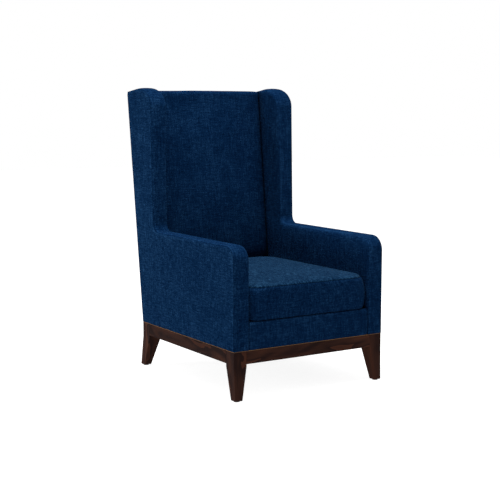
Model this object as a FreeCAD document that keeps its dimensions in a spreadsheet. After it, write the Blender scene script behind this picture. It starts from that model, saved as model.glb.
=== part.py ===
import FreeCAD, Part
import Sketcher
import math
import os

# Fixed high-back wing armchair on a tapered wood base, with a loose seat cushion.
# Millimetres, +Z up, the sitter faces -Y, +X is to the right of someone looking at
# the front.  Sketches are drawn with y = 0 at the front plane of the upholstery and
# z = 0 at the floor; every placement then moves the piece by origin_y, so that the
# origin is at the middle of the footprint on the floor.

doc = FreeCAD.newDocument("wing_armchair")

# ---------------------------------------------------------------- driving sizes
SIZES = [
    ("overall_w", 710.0), ("origin_y", -433.25),
    ("side_thk", 70.0), ("cover_thk", 5.0), ("boxing_thk", 8.0),
    ("board_thk", 3.0), ("post_thk", 35.0), ("foam_gap", 0.5),
    ("fabric_z", 194.0), ("arm_z", 591.0), ("arm_fillet", 55.0),
    ("wing_foot_y", 641.7), ("wing_head_y", 656.0), ("wing_z", 1190.0),
    ("wing_break_y", 775.0), ("wing_rear_z", 1174.0), ("wing_fillet", 100.0), ("wing_rail_h", 84.0),
    ("elbow_fillet", 38.0), ("rear_fillet", 9.0),
    ("rear_foot_y", 748.0), ("rear_rake", 0.125),
    ("face_foot_y", 704.82), ("face_rake", 0.11), ("tuck_d", 8.0),
    ("inside_z", 291.0), ("back_head_z", 1180.0), ("back_fillet", 16.0),
    ("rail_z", 142.0), ("rail_thk", 22.0), ("base_inset", 1.5), ("base_d", 749.0),
    ("leg_w", 58.0), ("arris", 1.5), ("taper_z", 132.0), ("foot_w", 33.0), ("foot_in_x", 4.4),
    ("foot_fwd", 4.0), ("rear_kick", 27.5), ("glide_h", 4.0), ("glide_rad", 11.0),
    ("tenon_l", 12.0), ("tenon_w", 11.0), ("tenon_gap", 0.15),
    ("block_off", 144.0), ("block_thk", 18.0), ("block_z", 150.0), ("block_top", 188.0),
    ("bolt_rad", 4.0), ("bolt_z", 170.0),
    ("seat_rail_z", 196.0), ("seat_rail_top", 291.0), ("seat_rail_thk", 25.0),
    ("border_thk", 14.0), ("border_z", 303.0), ("border_lip", 40.0),
    ("post_w", 40.0), ("arm_rail_h", 40.0), ("back_rail_thk", 18.0), ("web_thk", 2.0),
    ("web_w", 50.0), ("spring_rad", 1.9), ("spring_amp", 22.0), ("spring_pitch", 26.0),
    ("burlap_thk", 2.0), ("pad_thk", 8.0), ("deck_thk", 2.0), ("deck_rear", 716.0),
    ("cushion_gap", 1.0), ("cushion_z", 303.6), ("cushion_top", 450.0),
    ("cushion_front", 2.0), ("cushion_rear", 716.5), ("cushion_corner", 30.0),
    ("cushion_crown", 20.0), ("cushion_seam", 430.0),
    ("zip_len", 480.0), ("zip_w", 24.0), ("zip_z", 365.0), ("zip_thk", 1.2),
    ("chain_w", 6.0), ("chain_thk", 1.6), ("slider_l", 12.0), ("slider_w", 9.0),
    ("slider_thk", 2.4), ("slider_gap", 0.4),
]
sheet = doc.addObject("Spreadsheet::Sheet", "dims")
for row, (name, value) in enumerate(SIZES, start=1):
    sheet.set("A%d" % row, name)
    sheet.set("B%d" % row, str(value))
    sheet.setAlias("B%d" % row, name)
doc.recompute()


class Q:
    """A length kept both as a number and as the sheet expression that gives it."""

    def __init__(self, v, e):
        self.v = float(v)
        self.e = e

    @staticmethod
    def of(x):
        return x if isinstance(x, Q) else Q(x, repr(float(x)))

    def __add__(self, o):
        o = Q.of(o)
        return Q(self.v + o.v, "(%s + %s)" % (self.e, o.e))

    def __radd__(self, o):
        return Q.of(o) + self

    def __sub__(self, o):
        o = Q.of(o)
        return Q(self.v - o.v, "(%s - %s)" % (self.e, o.e))

    def __rsub__(self, o):
        return Q.of(o) - self

    def __mul__(self, o):
        o = Q.of(o)
        return Q(self.v * o.v, "(%s * %s)" % (self.e, o.e))

    def __rmul__(self, o):
        return Q.of(o) * self

    def __truediv__(self, o):
        o = Q.of(o)
        return Q(self.v / o.v, "(%s / %s)" % (self.e, o.e))

    def __neg__(self):
        return Q(-self.v, "(0 - %s)" % self.e)


D = {name: Q(value, "dims." + name) for name, value in SIZES}
half_w = D["overall_w"] / 2
oy = D["origin_y"]
nodes = []


def node(label, obj):
    obj.Label = label
    nodes.append((label, obj))
    return obj


def put(obj, x, y, z):
    """Bind a placement to the sheet; y is measured from the front plane."""
    obj.Placement = FreeCAD.Placement(
        FreeCAD.Vector(Q.of(x).v, (Q.of(y) + oy).v, Q.of(z).v), obj.Placement.Rotation)
    obj.setExpression(".Placement.Base.x", Q.of(x).e)
    obj.setExpression(".Placement.Base.y", (Q.of(y) + oy).e)
    obj.setExpression(".Placement.Base.z", Q.of(z).e)
    return obj


def origin_plane(body, role):
    for f in body.Origin.OriginFeatures:
        if f.Role == role:
            return f
    raise RuntimeError(role)


def polygon(body, name, pts, role, offset=None):
    """A closed polygon sketch whose corners are bound to the sheet."""
    sk = body.newObject("Sketcher::SketchObject", name)
    sk.AttachmentSupport = [(origin_plane(body, role), "")]
    sk.MapMode = "FlatFace"
    if offset is not None:
        sk.setExpression("AttachmentOffset.Base.z", offset.e)
    pts = [(Q.of(a), Q.of(b)) for a, b in pts]
    n = len(pts)
    for i in range(n):
        a, b = pts[i], pts[(i + 1) % n]
        sk.addGeometry(Part.LineSegment(FreeCAD.Vector(a[0].v, a[1].v, 0),
                                        FreeCAD.Vector(b[0].v, b[1].v, 0)), False)
    for i in range(n):
        sk.addConstraint(Sketcher.Constraint("Coincident", i, 2, (i + 1) % n, 1))
    for i, (a, b) in enumerate(pts):
        for kind, q in (("DistanceX", a), ("DistanceY", b)):
            if abs(q.v) < 1e-9:
                axis = -2 if kind == "DistanceX" else -1
                sk.addConstraint(Sketcher.Constraint("PointOnObject", i, 1, axis))
            else:
                k = sk.addConstraint(Sketcher.Constraint(kind, -1, 1, i, 1, q.v))
                sk.setExpression("Constraints[%d]" % k, q.e)
    return sk


def edges_along_x(shape, y, z):
    found = []
    for i, e in enumerate(shape.Edges, start=1):
        if len(e.Vertexes) == 2 and all(
                abs(v.Point.y - y) < 0.02 and abs(v.Point.z - z) < 0.02 for v in e.Vertexes):
            found.append("Edge%d" % i)
    return found


def profile(label, pts, x0, length, rounds=(), bind=True):
    """A piece of constant Y-Z section that runs along X.

    rounds lists (corner index, radius) for the corners that are rounded.
    """
    body = doc.addObject("PartDesign::Body", label)
    sk = polygon(body, label + "_section", pts, "YZ_Plane")
    pad = body.newObject("PartDesign::Pad", label + "_run")
    pad.Profile = sk
    pad.Length = Q.of(length).v
    pad.setExpression("Length", Q.of(length).e)
    doc.recompute()
    last = pad
    pts = [(Q.of(a), Q.of(b)) for a, b in pts]
    for i, r in rounds:
        r = Q.of(r)
        names = edges_along_x(last.Shape, pts[i][0].v, pts[i][1].v)
        if not names:
            raise RuntimeError("%s: corner %d not found" % (label, i))
        f = body.newObject("PartDesign::Fillet", "%s_round%d" % (label, i))
        f.Base = (last, names)
        f.Radius = r.v
        f.setExpression("Radius", r.e)
        doc.recompute()
        last = f
    body.Tip = last
    put(body, x0, 0.0, 0.0)
    if bind:
        node(label, body)
    return body


def box(name, x, y, z, dx, dy, dz):
    b = doc.addObject("Part::Box", name)
    for prop, q in (("Length", dx), ("Width", dy), ("Height", dz)):
        q = Q.of(q)
        setattr(b, prop, q.v)
        b.setExpression(prop, q.e)
    return put(b, x, y, z)


def cylinder(name, rad, height, x, y, z, axis=(0, 0, 1)):
    c = doc.addObject("Part::Cylinder", name)
    c.Radius = Q.of(rad).v
    c.setExpression("Radius", Q.of(rad).e)
    c.Height = Q.of(height).v
    c.setExpression("Height", Q.of(height).e)
    c.Placement = FreeCAD.Placement(FreeCAD.Vector(0, 0, 0), FreeCAD.Rotation(
        FreeCAD.Vector(0, 0, 1), FreeCAD.Vector(*axis)))
    return put(c, x, y, z)


def group(label, objs):
    g = doc.addObject("Part::Compound", label)
    g.Links = objs
    return node(label, g)


def fuse(name, objs):
    f = doc.addObject("Part::MultiFuse", name)
    f.Shapes = objs
    f.Refine = True
    return f


def cut(name, base, tools):
    """base less every tool."""
    tool = tools[0] if len(tools) == 1 else fuse(name + "_tools", tools)
    c = doc.addObject("Part::Cut", name)
    c.Base = base
    c.Tool = tool
    return c


def rear(z, inset=0.0):
    """The raked outer back line, moved forward by inset."""
    return D["rear_foot_y"] + D["rear_rake"] * (Q.of(z) - D["fabric_z"]) - inset


def face(z, behind=0.0):
    """The raked front of the inside back, moved rearward by behind."""
    return D["face_foot_y"] + D["face_rake"] * (Q.of(z) - D["fabric_z"] + 28.0) + behind


def wing(z, inset=0.0):
    """The front line of the wing, moved rearward by inset."""
    k = (D["wing_head_y"] - D["wing_foot_y"]) / (D["wing_z"] - D["arm_z"])
    return D["wing_foot_y"] + k * (Q.of(z) - D["arm_z"]) + inset


# ------------------------------------------------------------------ wood base
rail_h = D["fabric_z"] - D["rail_z"]
bi = D["base_inset"]
tz = D["rail_z"] + 10.0
th = rail_h - 16.0
legs = {}


def eased_square(x, y, w):
    """A square section with its four corners taken off by the arris."""
    a = D["arris"]
    x, y = Q.of(x), Q.of(y)
    return [(x + a, y), (x + w - a, y), (x + w, y + a), (x + w, y + w - a),
            (x + w - a, y + w), (x + a, y + w), (x, y + w - a), (x, y + a)]


for fb in ("front", "rear"):
    for lr in ("left", "right"):
        name = "leg_%s_%s" % (fb, lr)
        body = doc.addObject("PartDesign::Body", name + "_body")
        lw, fw = D["leg_w"], D["foot_w"]
        # plan corners, measured from the leg's own outer left front corner + 10
        if lr == "left":
            fx = D["foot_in_x"] - bi + 10.0
        else:
            fx = lw - (D["foot_in_x"] - bi) - fw + 10.0
        if fb == "front":
            fy = 10.0 - D["foot_fwd"] - bi
        else:
            fy = 10.0 + lw + D["rear_kick"] - fw
        top = polygon(body, name + "_head", eased_square(10.0, 10.0, lw), "XY_Plane", D["taper_z"])
        foot = polygon(body, name + "_foot", eased_square(fx, fy, fw), "XY_Plane", D["glide_h"])
        pad = body.newObject("PartDesign::Pad", name + "_block")
        pad.Profile = top
        hgt = D["fabric_z"] - D["taper_z"]
        pad.Length = hgt.v
        pad.setExpression("Length", hgt.e)
        doc.recompute()
        loft = body.newObject("PartDesign::AdditiveLoft", name + "_taper")
        loft.Profile = top
        loft.Sections = [foot]
        loft.Ruled = True
        doc.recompute()
        body.Tip = loft
        x0 = (-half_w + bi - 10.0) if lr == "left" else (half_w - bi - lw - 10.0)
        y0 = (bi - 10.0) if fb == "front" else (D["base_d"] - bi - lw - 10.0)
        put(body, x0, y0, 0.0)
        legs[(fb, lr)] = (name, body, x0 + 10.0, y0 + 10.0)

# rails between the legs, each with a stub tenon at both ends
span_x = D["overall_w"] - 2 * bi - 2 * D["leg_w"]
span_y = D["base_d"] - 2 * bi - 2 * D["leg_w"]
inner_x = half_w - bi - D["leg_w"]
inner_y0 = bi + D["leg_w"]


def x_rail(label, y):
    main = box(label + "_bar", -inner_x, y, D["rail_z"], span_x, D["rail_thk"], rail_h)
    eased = doc.addObject("Part::Fillet", label + "_eased")
    eased.Base = main
    doc.recompute()
    outer = D["rail_thk"].v if y.v > 300 else 0.0
    pick = []
    for i, e in enumerate(main.Shape.Edges, start=1):
        p = [v.Point for v in e.Vertexes]
        if abs(p[0].x - p[1].x) > 100 and abs(p[0].y - (y + oy).v - outer) < 0.01:
            pick.append((i, 1.6, 1.6))
    eased.Edges = pick
    ten = box(label + "_tenons", -inner_x - D["tenon_l"], y + (D["rail_thk"] - D["tenon_w"]) / 2,
              tz, span_x + 2 * D["tenon_l"], D["tenon_w"], th - 4.0)
    return node(label, fuse(label, [eased, ten]))


def y_rail(label, x):
    main = box(label + "_bar", x, inner_y0, D["rail_z"], D["rail_thk"], span_y, rail_h)
    eased = doc.addObject("Part::Fillet", label + "_eased")
    eased.Base = main
    doc.recompute()
    outer = x.v if x.v < 0 else x.v + D["rail_thk"].v
    pick = []
    for i, e in enumerate(main.Shape.Edges, start=1):
        p = [v.Point for v in e.Vertexes]
        if abs(p[0].y - p[1].y) > 100 and abs(p[0].x - outer) < 0.01:
            pick.append((i, 1.6, 1.6))
    eased.Edges = pick
    ten = box(label + "_tenons", x + (D["rail_thk"] - D["tenon_w"]) / 2, inner_y0 - D["tenon_l"],
              tz, D["tenon_w"], span_y + 2 * D["tenon_l"], th - 4.0)
    return node(label, fuse(label, [eased, ten]))


x_rail("base_rail_front", bi)
x_rail("base_rail_back", D["base_d"] - bi - D["rail_thk"])
y_rail("base_rail_left", -half_w + bi)
y_rail("base_rail_right", half_w - bi - D["rail_thk"])

# corner blocks inside the plinth and the hanger bolts that pull each leg to them
blocks, bolts, glides = [], [], []
for (fb, lr), (name, soft, lx, ly) in legs.items():
    sx = 1.0 if lr == "left" else -1.0
    sy = 1.0 if fb == "front" else -1.0
    cx = (-half_w + bi) if lr == "left" else (half_w - bi)
    cy = bi if fb == "front" else (D["base_d"] - bi)
    g = D["tenon_gap"]
    # mortises for the two tenons that meet in this leg
    mx = box(name + "_mortise_x", (cx + sx * (D["leg_w"] - D["tenon_l"] - g)) if sx > 0
             else (cx - D["leg_w"] - 1.0),
             (cy + sy * ((D["rail_thk"] - D["tenon_w"]) / 2 - g)) if sy > 0
             else (cy - (D["rail_thk"] + D["tenon_w"]) / 2 - g),
             tz - g, D["tenon_l"] + g + 1.0, D["tenon_w"] + 2 * g, th - 4.0 + 2 * g)
    my = box(name + "_mortise_y", (cx + ((D["rail_thk"] - D["tenon_w"]) / 2 - g)) if sx > 0
             else (cx - (D["rail_thk"] + D["tenon_w"]) / 2 - g),
             (cy + (D["leg_w"] - D["tenon_l"] - g)) if sy > 0 else (cy - D["leg_w"] - 1.0),
             tz - g, D["tenon_w"] + 2 * g, D["tenon_l"] + g + 1.0, th - 4.0 + 2 * g)
    diag = (sx / math.sqrt(2), sy / math.sqrt(2), 0)
    hole = cylinder(name + "_bolt_hole", D["bolt_rad"] + 0.05, 60.0, cx + sx * 38.0, cy + sy * 38.0,
                    D["bolt_z"], diag)
    node(name, cut(name, soft, [mx, my, hole]))
    # corner block: a short diagonal bar from rail to rail behind the leg
    off, wid = D["block_off"], D["block_thk"] * 1.4142
    rt = D["rail_thk"]
    bl = doc.addObject("PartDesign::Body", name + "_block_body")
    a = [(rt, off - rt), (rt, off + wid - rt), (off + wid - rt, rt), (off - rt, rt)]
    sk = polygon(bl, name + "_block_plan", a, "XY_Plane")
    pd = bl.newObject("PartDesign::Pad", name + "_block_pad")
    pd.Profile = sk
    bh = D["block_top"] - D["block_z"]
    pd.Length = bh.v
    pd.setExpression("Length", bh.e)
    bl.Tip = pd
    doc.recompute()
    turn = {(1, 1): 0, (-1, 1): 90, (-1, -1): 180, (1, -1): 270}[(int(sx), int(sy))]
    bl.Placement = FreeCAD.Placement(FreeCAD.Vector(0, 0, 0),
                                     FreeCAD.Rotation(FreeCAD.Vector(0, 0, 1), turn))
    put(bl, cx, cy, D["block_z"])
    through = cylinder(name + "_block_hole", D["bolt_rad"] + 0.5, 60.0, cx + sx * 62.0,
                       cy + sy * 62.0, D["bolt_z"], diag)
    blocks.append(cut(name + "_corner_block", bl, [through]))
    shank = cylinder(name + "_bolt_shank", D["bolt_rad"], 74.0, cx + sx * 40.0, cy + sy * 40.0,
                     D["bolt_z"], diag)
    seat = off.v / 2 + wid.v / 2      # where the block's rear face meets the bolt
    washer = cylinder(name + "_washer", 11.0, 2.0, cx + sx * seat, cy + sy * seat,
                      D["bolt_z"], diag)
    nut = cylinder(name + "_nut", 7.0, 7.0, cx + sx * (seat + 1.4142), cy + sy * (seat + 1.4142),
                   D["bolt_z"], diag)
    bolts.append(fuse(name + "_bolt", [shank, washer, nut]))
    # nail-on glide under the foot
    fw = D["foot_w"]
    gx = (cx + D["foot_in_x"] - bi + fw / 2) if sx > 0 else (cx - D["foot_in_x"] + bi - fw / 2)
    gy = (cy - D["foot_fwd"] - bi + fw / 2) if sy > 0 else (cy + D["rear_kick"] - fw / 2)
    glides.append(cylinder(name + "_glide", D["glide_rad"], D["glide_h"], gx, gy, 0.0))
group("base_corner_blocks", blocks)
group("leg_bolts", bolts)
group("foot_glides", glides)

# ------------------------------------------------------------------ seat frame
post_out = half_w - D["cover_thk"] - D["board_thk"]     # outer face of posts
post_in = post_out - D["post_thk"]                      # inner face of posts
side_in = half_w - D["side_thk"]                        # inner plane of the arms
bt = D["boxing_thk"]
st = D["seat_rail_top"]
sz = D["seat_rail_z"]
ct = D["cover_thk"]
brt = D["back_rail_thk"]

profile("seat_rail_front", [(D["border_thk"], sz), (D["border_thk"] + D["seat_rail_thk"], sz),
                            (D["border_thk"] + D["seat_rail_thk"], st), (D["border_thk"], st)],
        -post_in, 2 * post_in)
profile("seat_rail_back", [(rear(sz, ct + brt), sz), (rear(sz, ct), sz),
                           (rear(st, ct), st), (rear(st, ct + brt), st)],
        -post_in, 2 * post_in)
pw = D["post_w"]
for lr, x in (("left", -post_out), ("right", post_out - D["seat_rail_thk"])):
    profile("seat_rail_" + lr, [(bt + pw, sz), (rear(sz, ct + pw + 5.0), sz),
                                (rear(st, ct + pw + 5.0), st), (bt + pw, st)],
            x, D["seat_rail_thk"])

# triangular glue blocks in the four corners of the seat frame
tri = []
for i, (sx, sy) in enumerate(((1, 1), (-1, 1), (-1, -1), (1, -1))):
    b = doc.addObject("PartDesign::Body", "seat_block_%d" % i)
    sk = polygon(b, "seat_block_plan_%d" % i, [(0.0, 0.0), (60.0, 0.0), (0.0, 60.0)], "XY_Plane")
    pd = b.newObject("PartDesign::Pad", "seat_block_pad_%d" % i)
    pd.Profile = sk
    pd.Length = 60.0
    pd.setExpression("Length", (st - sz - 35.0).e)
    b.Tip = pd
    doc.recompute()
    b.Placement = FreeCAD.Placement(FreeCAD.Vector(0, 0, 0), FreeCAD.Rotation(
        FreeCAD.Vector(0, 0, 1), {(1, 1): 0, (-1, 1): 90, (-1, -1): 180, (1, -1): 270}[(sx, sy)]))
    bx = -post_in + 0.0 if sx > 0 else post_in
    by = (D["border_thk"] + D["seat_rail_thk"]) if sy > 0 else rear(sz, ct + brt)
    put(b, bx, by, sz + 10.0)
    tri.append(b)
group("seat_corner_blocks", tri)

# sinuous springs, front to back, lying just under the rail tops
y_a = D["border_thk"].v + D["seat_rail_thk"].v
y_b = rear(st, ct + brt).v
amp, r_w = D["spring_amp"].v, D["spring_rad"].v
n_half = 25
pitch = (y_b - y_a - 16.0) / n_half
z_s = st.v - r_w - 0.6


def zigzag(xc):
    """Straight legs across X joined by half-round ends, as one path."""
    rad = pitch / 2
    edges = []
    y = y_a + 8.0
    side = 1
    x = xc - side * (amp - rad)
    p = FreeCAD.Vector(xc, y, z_s)
    lead = FreeCAD.Vector(xc + (amp - rad), y, z_s)
    edges.append(Part.makeLine(p, lead))
    cur, s = lead, 1
    for k in range(n_half):
        mid = FreeCAD.Vector(cur.x + s * rad, cur.y + rad, z_s)
        end = FreeCAD.Vector(cur.x, cur.y + pitch, z_s)
        edges.append(Part.Arc(cur, mid, end).toShape())
        last = k == n_half - 1
        nx = xc if last else xc - s * (amp - rad)
        nxt = FreeCAD.Vector(nx, end.y, z_s)
        edges.append(Part.makeLine(end, nxt))
        cur, s = nxt, -s
    wire = Part.Wire(edges)
    ring = Part.Wire([Part.makeCircle(r_w, p, FreeCAD.Vector(1, 0, 0))])
    return wire.makePipeShell([ring], True, False)


springs, clips = [], []
for k in range(5):
    xc = -220.0 + 110.0 * k
    f = doc.addObject("Part::Feature", "seat_spring_%d" % k)
    f.Shape = zigzag(xc)
    f.Placement = FreeCAD.Placement(FreeCAD.Vector(0, oy.v, 0), FreeCAD.Rotation())
    springs.append(f)
    # one stamped clip on each rail holds the end of the wire
    for nm, yy in (("front", D["border_thk"] + D["seat_rail_thk"]), ("back", rear(st - 26.0, ct + brt) - 2.0)):
        clips.append(box("clip_%s_%d" % (nm, k), xc - 8.0, yy, st - 26.0, 16.0, 2.0, 18.0))
group("seat_springs", springs)
group("spring_clips", clips)
ties = [cylinder("tie_wire_%d" % k, 1.2, 470.0, -235.0, y_a + f_ * (y_b - y_a),
                 z_s - r_w - 1.3, (1, 0, 0)) for k, f_ in enumerate((0.33, 0.66))]
group("spring_tie_wires", ties)

# deck: burlap, pad and decking cloth over the springs
deck_x = side_in - D["foam_gap"]
z1 = st
lip = D["border_lip"]
box_d = box("deck_burlap", -deck_x, lip, z1, 2 * deck_x, D["deck_rear"] - lip, D["burlap_thk"])
node("deck_burlap", box_d)
z2 = z1 + D["burlap_thk"]
node("deck_pad", box("deck_pad", -deck_x, lip, z2, 2 * deck_x, D["deck_rear"] - lip, D["pad_thk"]))
z3 = z2 + D["pad_thk"]
node("deck_cloth", box("deck_cloth", -deck_x, lip, z3, 2 * deck_x, D["deck_rear"] - lip, D["deck_thk"]))

# front border: pad, and a cover that turns back over the pad's top edge
bz = D["border_z"]
node("front_border_pad", box("front_border_pad", -deck_x, ct, D["fabric_z"] + 4.0, 2 * deck_x,
                             D["border_thk"] - ct, st - D["fabric_z"] - 4.0))
profile("front_border_cover", [(0.0, D["fabric_z"]), (ct, D["fabric_z"]), (ct, bz - 12.0),
                               (lip, bz - 12.0), (lip, bz), (0.0, bz)],
        -deck_x, 2 * deck_x, rounds=((5, 4.0),))

# ------------------------------------------------------------- arms and wings
az, wz = D["arm_z"], D["wing_z"]
wb, wr = D["wing_break_y"], D["wing_rear_z"]
af, wf, ef = D["arm_fillet"], D["wing_fillet"], D["elbow_fillet"]
fz = D["fabric_z"]
k_top = (wz - wr) / (rear(wr) - wb)          # fall of the wing top behind its break


def top_z(y_over):
    """Height of the wing's top line a distance y_over behind the break."""
    return wz - k_top * y_over


def side_outline(front, top, back, bottom, z_floor):
    """Corners of the arm-and-wing outline, inset from the covers' outer line."""
    zt = wz - top
    zr = wr - top
    return [(Q.of(front), z_floor), (Q.of(front), az - top), (wing(az, bottom), az - top),
            (wing(wz, bottom), zt), (wb, zt), (rear(zr, back), zr), (rear(z_floor, back), z_floor)]


for lr in ("left", "right"):
    s = -1 if lr == "left" else 1

    def xat(inner, outer):
        """x and run of a layer between two distances from the middle plane."""
        return (-outer if s < 0 else inner), (outer - inner)

    # outer cover: arm and wing in one panel
    x, run = xat(half_w - ct, half_w)
    profile("outer_side_cover_" + lr, side_outline(0.0, 0.0, 0.0, 0.0, fz), x, run,
            rounds=((1, af), (2, ef), (3, wf), (5, D["rear_fillet"])))
    # boxing strip: up the arm front, along the arm, up the wing and over its top
    o = side_outline(0.0, 0.0, ct, 0.0, fz)
    i_ = side_outline(bt, bt, ct, bt, fz)
    x, run = xat(side_in + ct, half_w - ct)
    band = [o[0], o[1], o[2], o[3], o[4], o[5], i_[5], i_[4], i_[3], i_[2], i_[1], i_[0]]
    profile("side_boxing_" + lr, band, x, run,
            rounds=((1, af), (2, ef), (3, wf), (10, af - bt), (9, ef + bt), (8, wf - bt)))
    # hardboard stiffener behind the outer cover
    x, run = xat(post_out, half_w - ct)
    profile("side_board_" + lr, side_outline(bt, bt, ct, bt, fz + 2.0), x, run,
            rounds=((1, af - bt), (2, ef + bt), (3, wf - bt)))
    # foam on the inside of the frame, then the inside cover
    x, run = xat(side_in + ct, post_in)
    zi = D["inside_z"]
    td = D["tuck_d"]

    def inner_outline(front, top, bottom):
        """As side_outline, but ending where the inside is tucked behind the back pad."""
        fall = k_top + 0.03
        zt = wz - top
        return [(Q.of(front), zi), (Q.of(front), az - top), (wing(az, bottom), az - top),
                (wing(wz, bottom), zt), (wb - 3.0, zt), (face(zt, td), zt - fall * (face(zt, td) - wb + 3.0)),
                (face(zi, td), zi)]

    profile("side_foam_" + lr, inner_outline(bt, bt, bt), x, run,
            rounds=((1, af - bt), (2, ef + bt), (3, wf - bt)))
    x, run = xat(side_in, side_in + ct)
    profile("inner_side_cover_" + lr, inner_outline(0.0, 0.0, 0.0), x, run,
            rounds=((1, af), (2, ef), (3, wf)))
    # frame of the side: arm post, arm rail, wing stile, wing top rail, back post
    x, run = xat(post_in, post_out)
    arz = az - bt - D["arm_rail_h"]
    profile("arm_post_" + lr, [(bt + 0.8, fz + 2.0), (bt + pw, fz + 2.0), (bt + pw, arz), (bt + 0.8, arz)],
            x, run)
    # the front end of the arm rail follows the round of the boxing strip
    rr = af - bt - 0.4
    nose = [(af + rr * math.cos(math.radians(t)), az - af + rr * math.sin(math.radians(t)))
            for t in (165, 150, 135, 120, 105, 90)]
    profile("arm_rail_" + lr, [(bt + 1.0, arz)] + nose +
            [(rear(az - bt, ct + pw + 5.4), az - bt - 0.4), (rear(arz, ct + pw + 5.4), arz)], x, run)
    wtz = wz - bt
    wrz = wtz - D["wing_rail_h"]
    profile("wing_stile_" + lr, [(wing(az - bt, bt + 2.0), az - bt),
                                 (wing(az - bt, bt + 2.0 + pw), az - bt),
                                 (wing(wrz, bt + 2.0 + pw), wrz), (wing(wrz, bt + 2.0), wrz)],
            x, run)
    # likewise the front end of the wing's top rail
    rw_ = wf - bt - 0.6
    cy_ = wing(wz - wf, wf)
    nose = [(cy_ + rw_ * math.cos(math.radians(t)), wz - wf + rw_ * math.sin(math.radians(t)))
            for t in (165, 150, 135, 120, 105, 90)]
    profile("wing_top_rail_" + lr, [(wing(wrz, bt + 2.0), wrz)] + nose +
            [(wb - 3.0, wtz - 0.6), (rear(wtz - 10.0, ct + pw + 5.4), wtz - 10.5),
             (rear(wrz, ct + pw + 5.4), wrz)], x, run)
    bp_hi = wtz - 20.0
    profile("back_post_" + lr, [(rear(fz + 2.0, ct + pw + 5.0), fz + 2.0), (rear(fz + 2.0, ct), fz + 2.0),
                                (rear(bp_hi, ct), bp_hi), (rear(bp_hi, ct + pw + 5.0), bp_hi)], x, run)

# ---------------------------------------------------------------------- back
hz = D["back_head_z"]


def slab(label, z0, z1, front, back, x0, run, rounds=()):
    """A raked slab between two lines parallel to the outer back line."""
    return profile(label, [(rear(z0, front), z0), (rear(z0, back), z0),
                           (rear(z1, back), z1), (rear(z1, front), z1)], x0, run, rounds)


slab("back_top_rail", hz - 78.0, hz - 18.0, ct + brt, ct, -post_in, 2 * post_in)
slab("back_lower_rail", Q.of(330.0), Q.of(390.0), ct + brt, ct, -post_in, 2 * post_in)
wt = D["web_thk"]
rows = [profile("web_row_%d" % k, [(rear(z, ct + brt + 2 * wt), z), (rear(z, ct + brt + wt), z),
                                   (rear(z + D["web_w"], ct + brt + wt), z + D["web_w"]),
                                   (rear(z + D["web_w"], ct + brt + 2 * wt), z + D["web_w"])],
                -deck_x, 2 * deck_x, bind=False)
        for k, z in enumerate(Q.of(v) for v in (440.0, 560.0, 680.0, 800.0, 920.0, 1040.0))]
group("back_webbing_across", rows)
ups = [profile("web_up_%d" % k, [(rear(335.0, ct + brt + wt), 335.0), (rear(335.0, ct + brt), 335.0),
                                 (rear(hz - 20.0, ct + brt), hz - 20.0),
                                 (rear(hz - 20.0, ct + brt + wt), hz - 20.0)],
               x, D["web_w"], bind=False)
       for k, x in enumerate((-205.0, -85.0, 35.0, 155.0))]
group("back_webbing_upright", ups)
fb_ = ct + brt + 2 * wt
zi = D["inside_z"]
profile("back_foam", [(face(zi + 2.0, ct), zi + 2.0), (rear(zi + 2.0, fb_), zi + 2.0),
                      (rear(hz - ct, fb_), hz - ct), (face(hz - ct, ct), hz - ct)],
        -deck_x, 2 * deck_x, rounds=((3, D["back_fillet"] - ct),))
profile("inside_back_cover", [(face(zi + 2.0), zi + 2.0), (face(zi + 2.0, ct), zi + 2.0),
                              (face(hz - ct, ct), hz - ct), (rear(hz - ct, ct), hz - ct),
                              (rear(hz, ct), hz), (face(hz), hz)],
        -deck_x, 2 * deck_x, rounds=((5, D["back_fillet"]), (2, D["back_fillet"] - ct)))
profile("outside_back_cover", [(rear(fz, ct), fz), (rear(fz), fz), (rear(wr), wr), (rear(wr, ct), wr)],
        -half_w + ct, D["overall_w"] - 2 * ct)

# dust cover: a plain sheet under the seat frame, inside the plinth, notched round the legs
dc = doc.addObject("PartDesign::Body", "dust_cover")
dx_, dy_ = D["overall_w"] - 2 * bi - 2 * D["rail_thk"] - 2.0, D["base_d"] - 2 * bi - 2 * D["rail_thk"] - 2.0
nk = D["leg_w"] - D["rail_thk"] + 1.0
sk = polygon(dc, "dust_cover_plan", [
    (nk, 0.0), (dx_ - nk, 0.0), (dx_ - nk, nk), (dx_, nk), (dx_, dy_ - nk), (dx_ - nk, dy_ - nk),
    (dx_ - nk, dy_), (nk, dy_), (nk, dy_ - nk), (0.0, dy_ - nk), (0.0, nk), (nk, nk)], "XY_Plane")
pd = dc.newObject("PartDesign::Pad", "dust_cover_pad")
pd.Profile = sk
pd.Length = 2.0
pd.setExpression("Length", D["web_thk"].e)
dc.Tip = pd
doc.recompute()
put(dc, -half_w + bi + D["rail_thk"] + 1.0, bi + D["rail_thk"] + 1.0, fz - 3.0)
node("dust_cover", dc)

# ------------------------------------------------------------------- cushion
g = D["cushion_gap"]
cx0 = -side_in + g
cw = 2 * (side_in - g)
cy0, cd = D["cushion_front"], D["cushion_rear"] - D["cushion_front"]
cz, chh = D["cushion_z"], D["cushion_top"] - D["cushion_z"]


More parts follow.
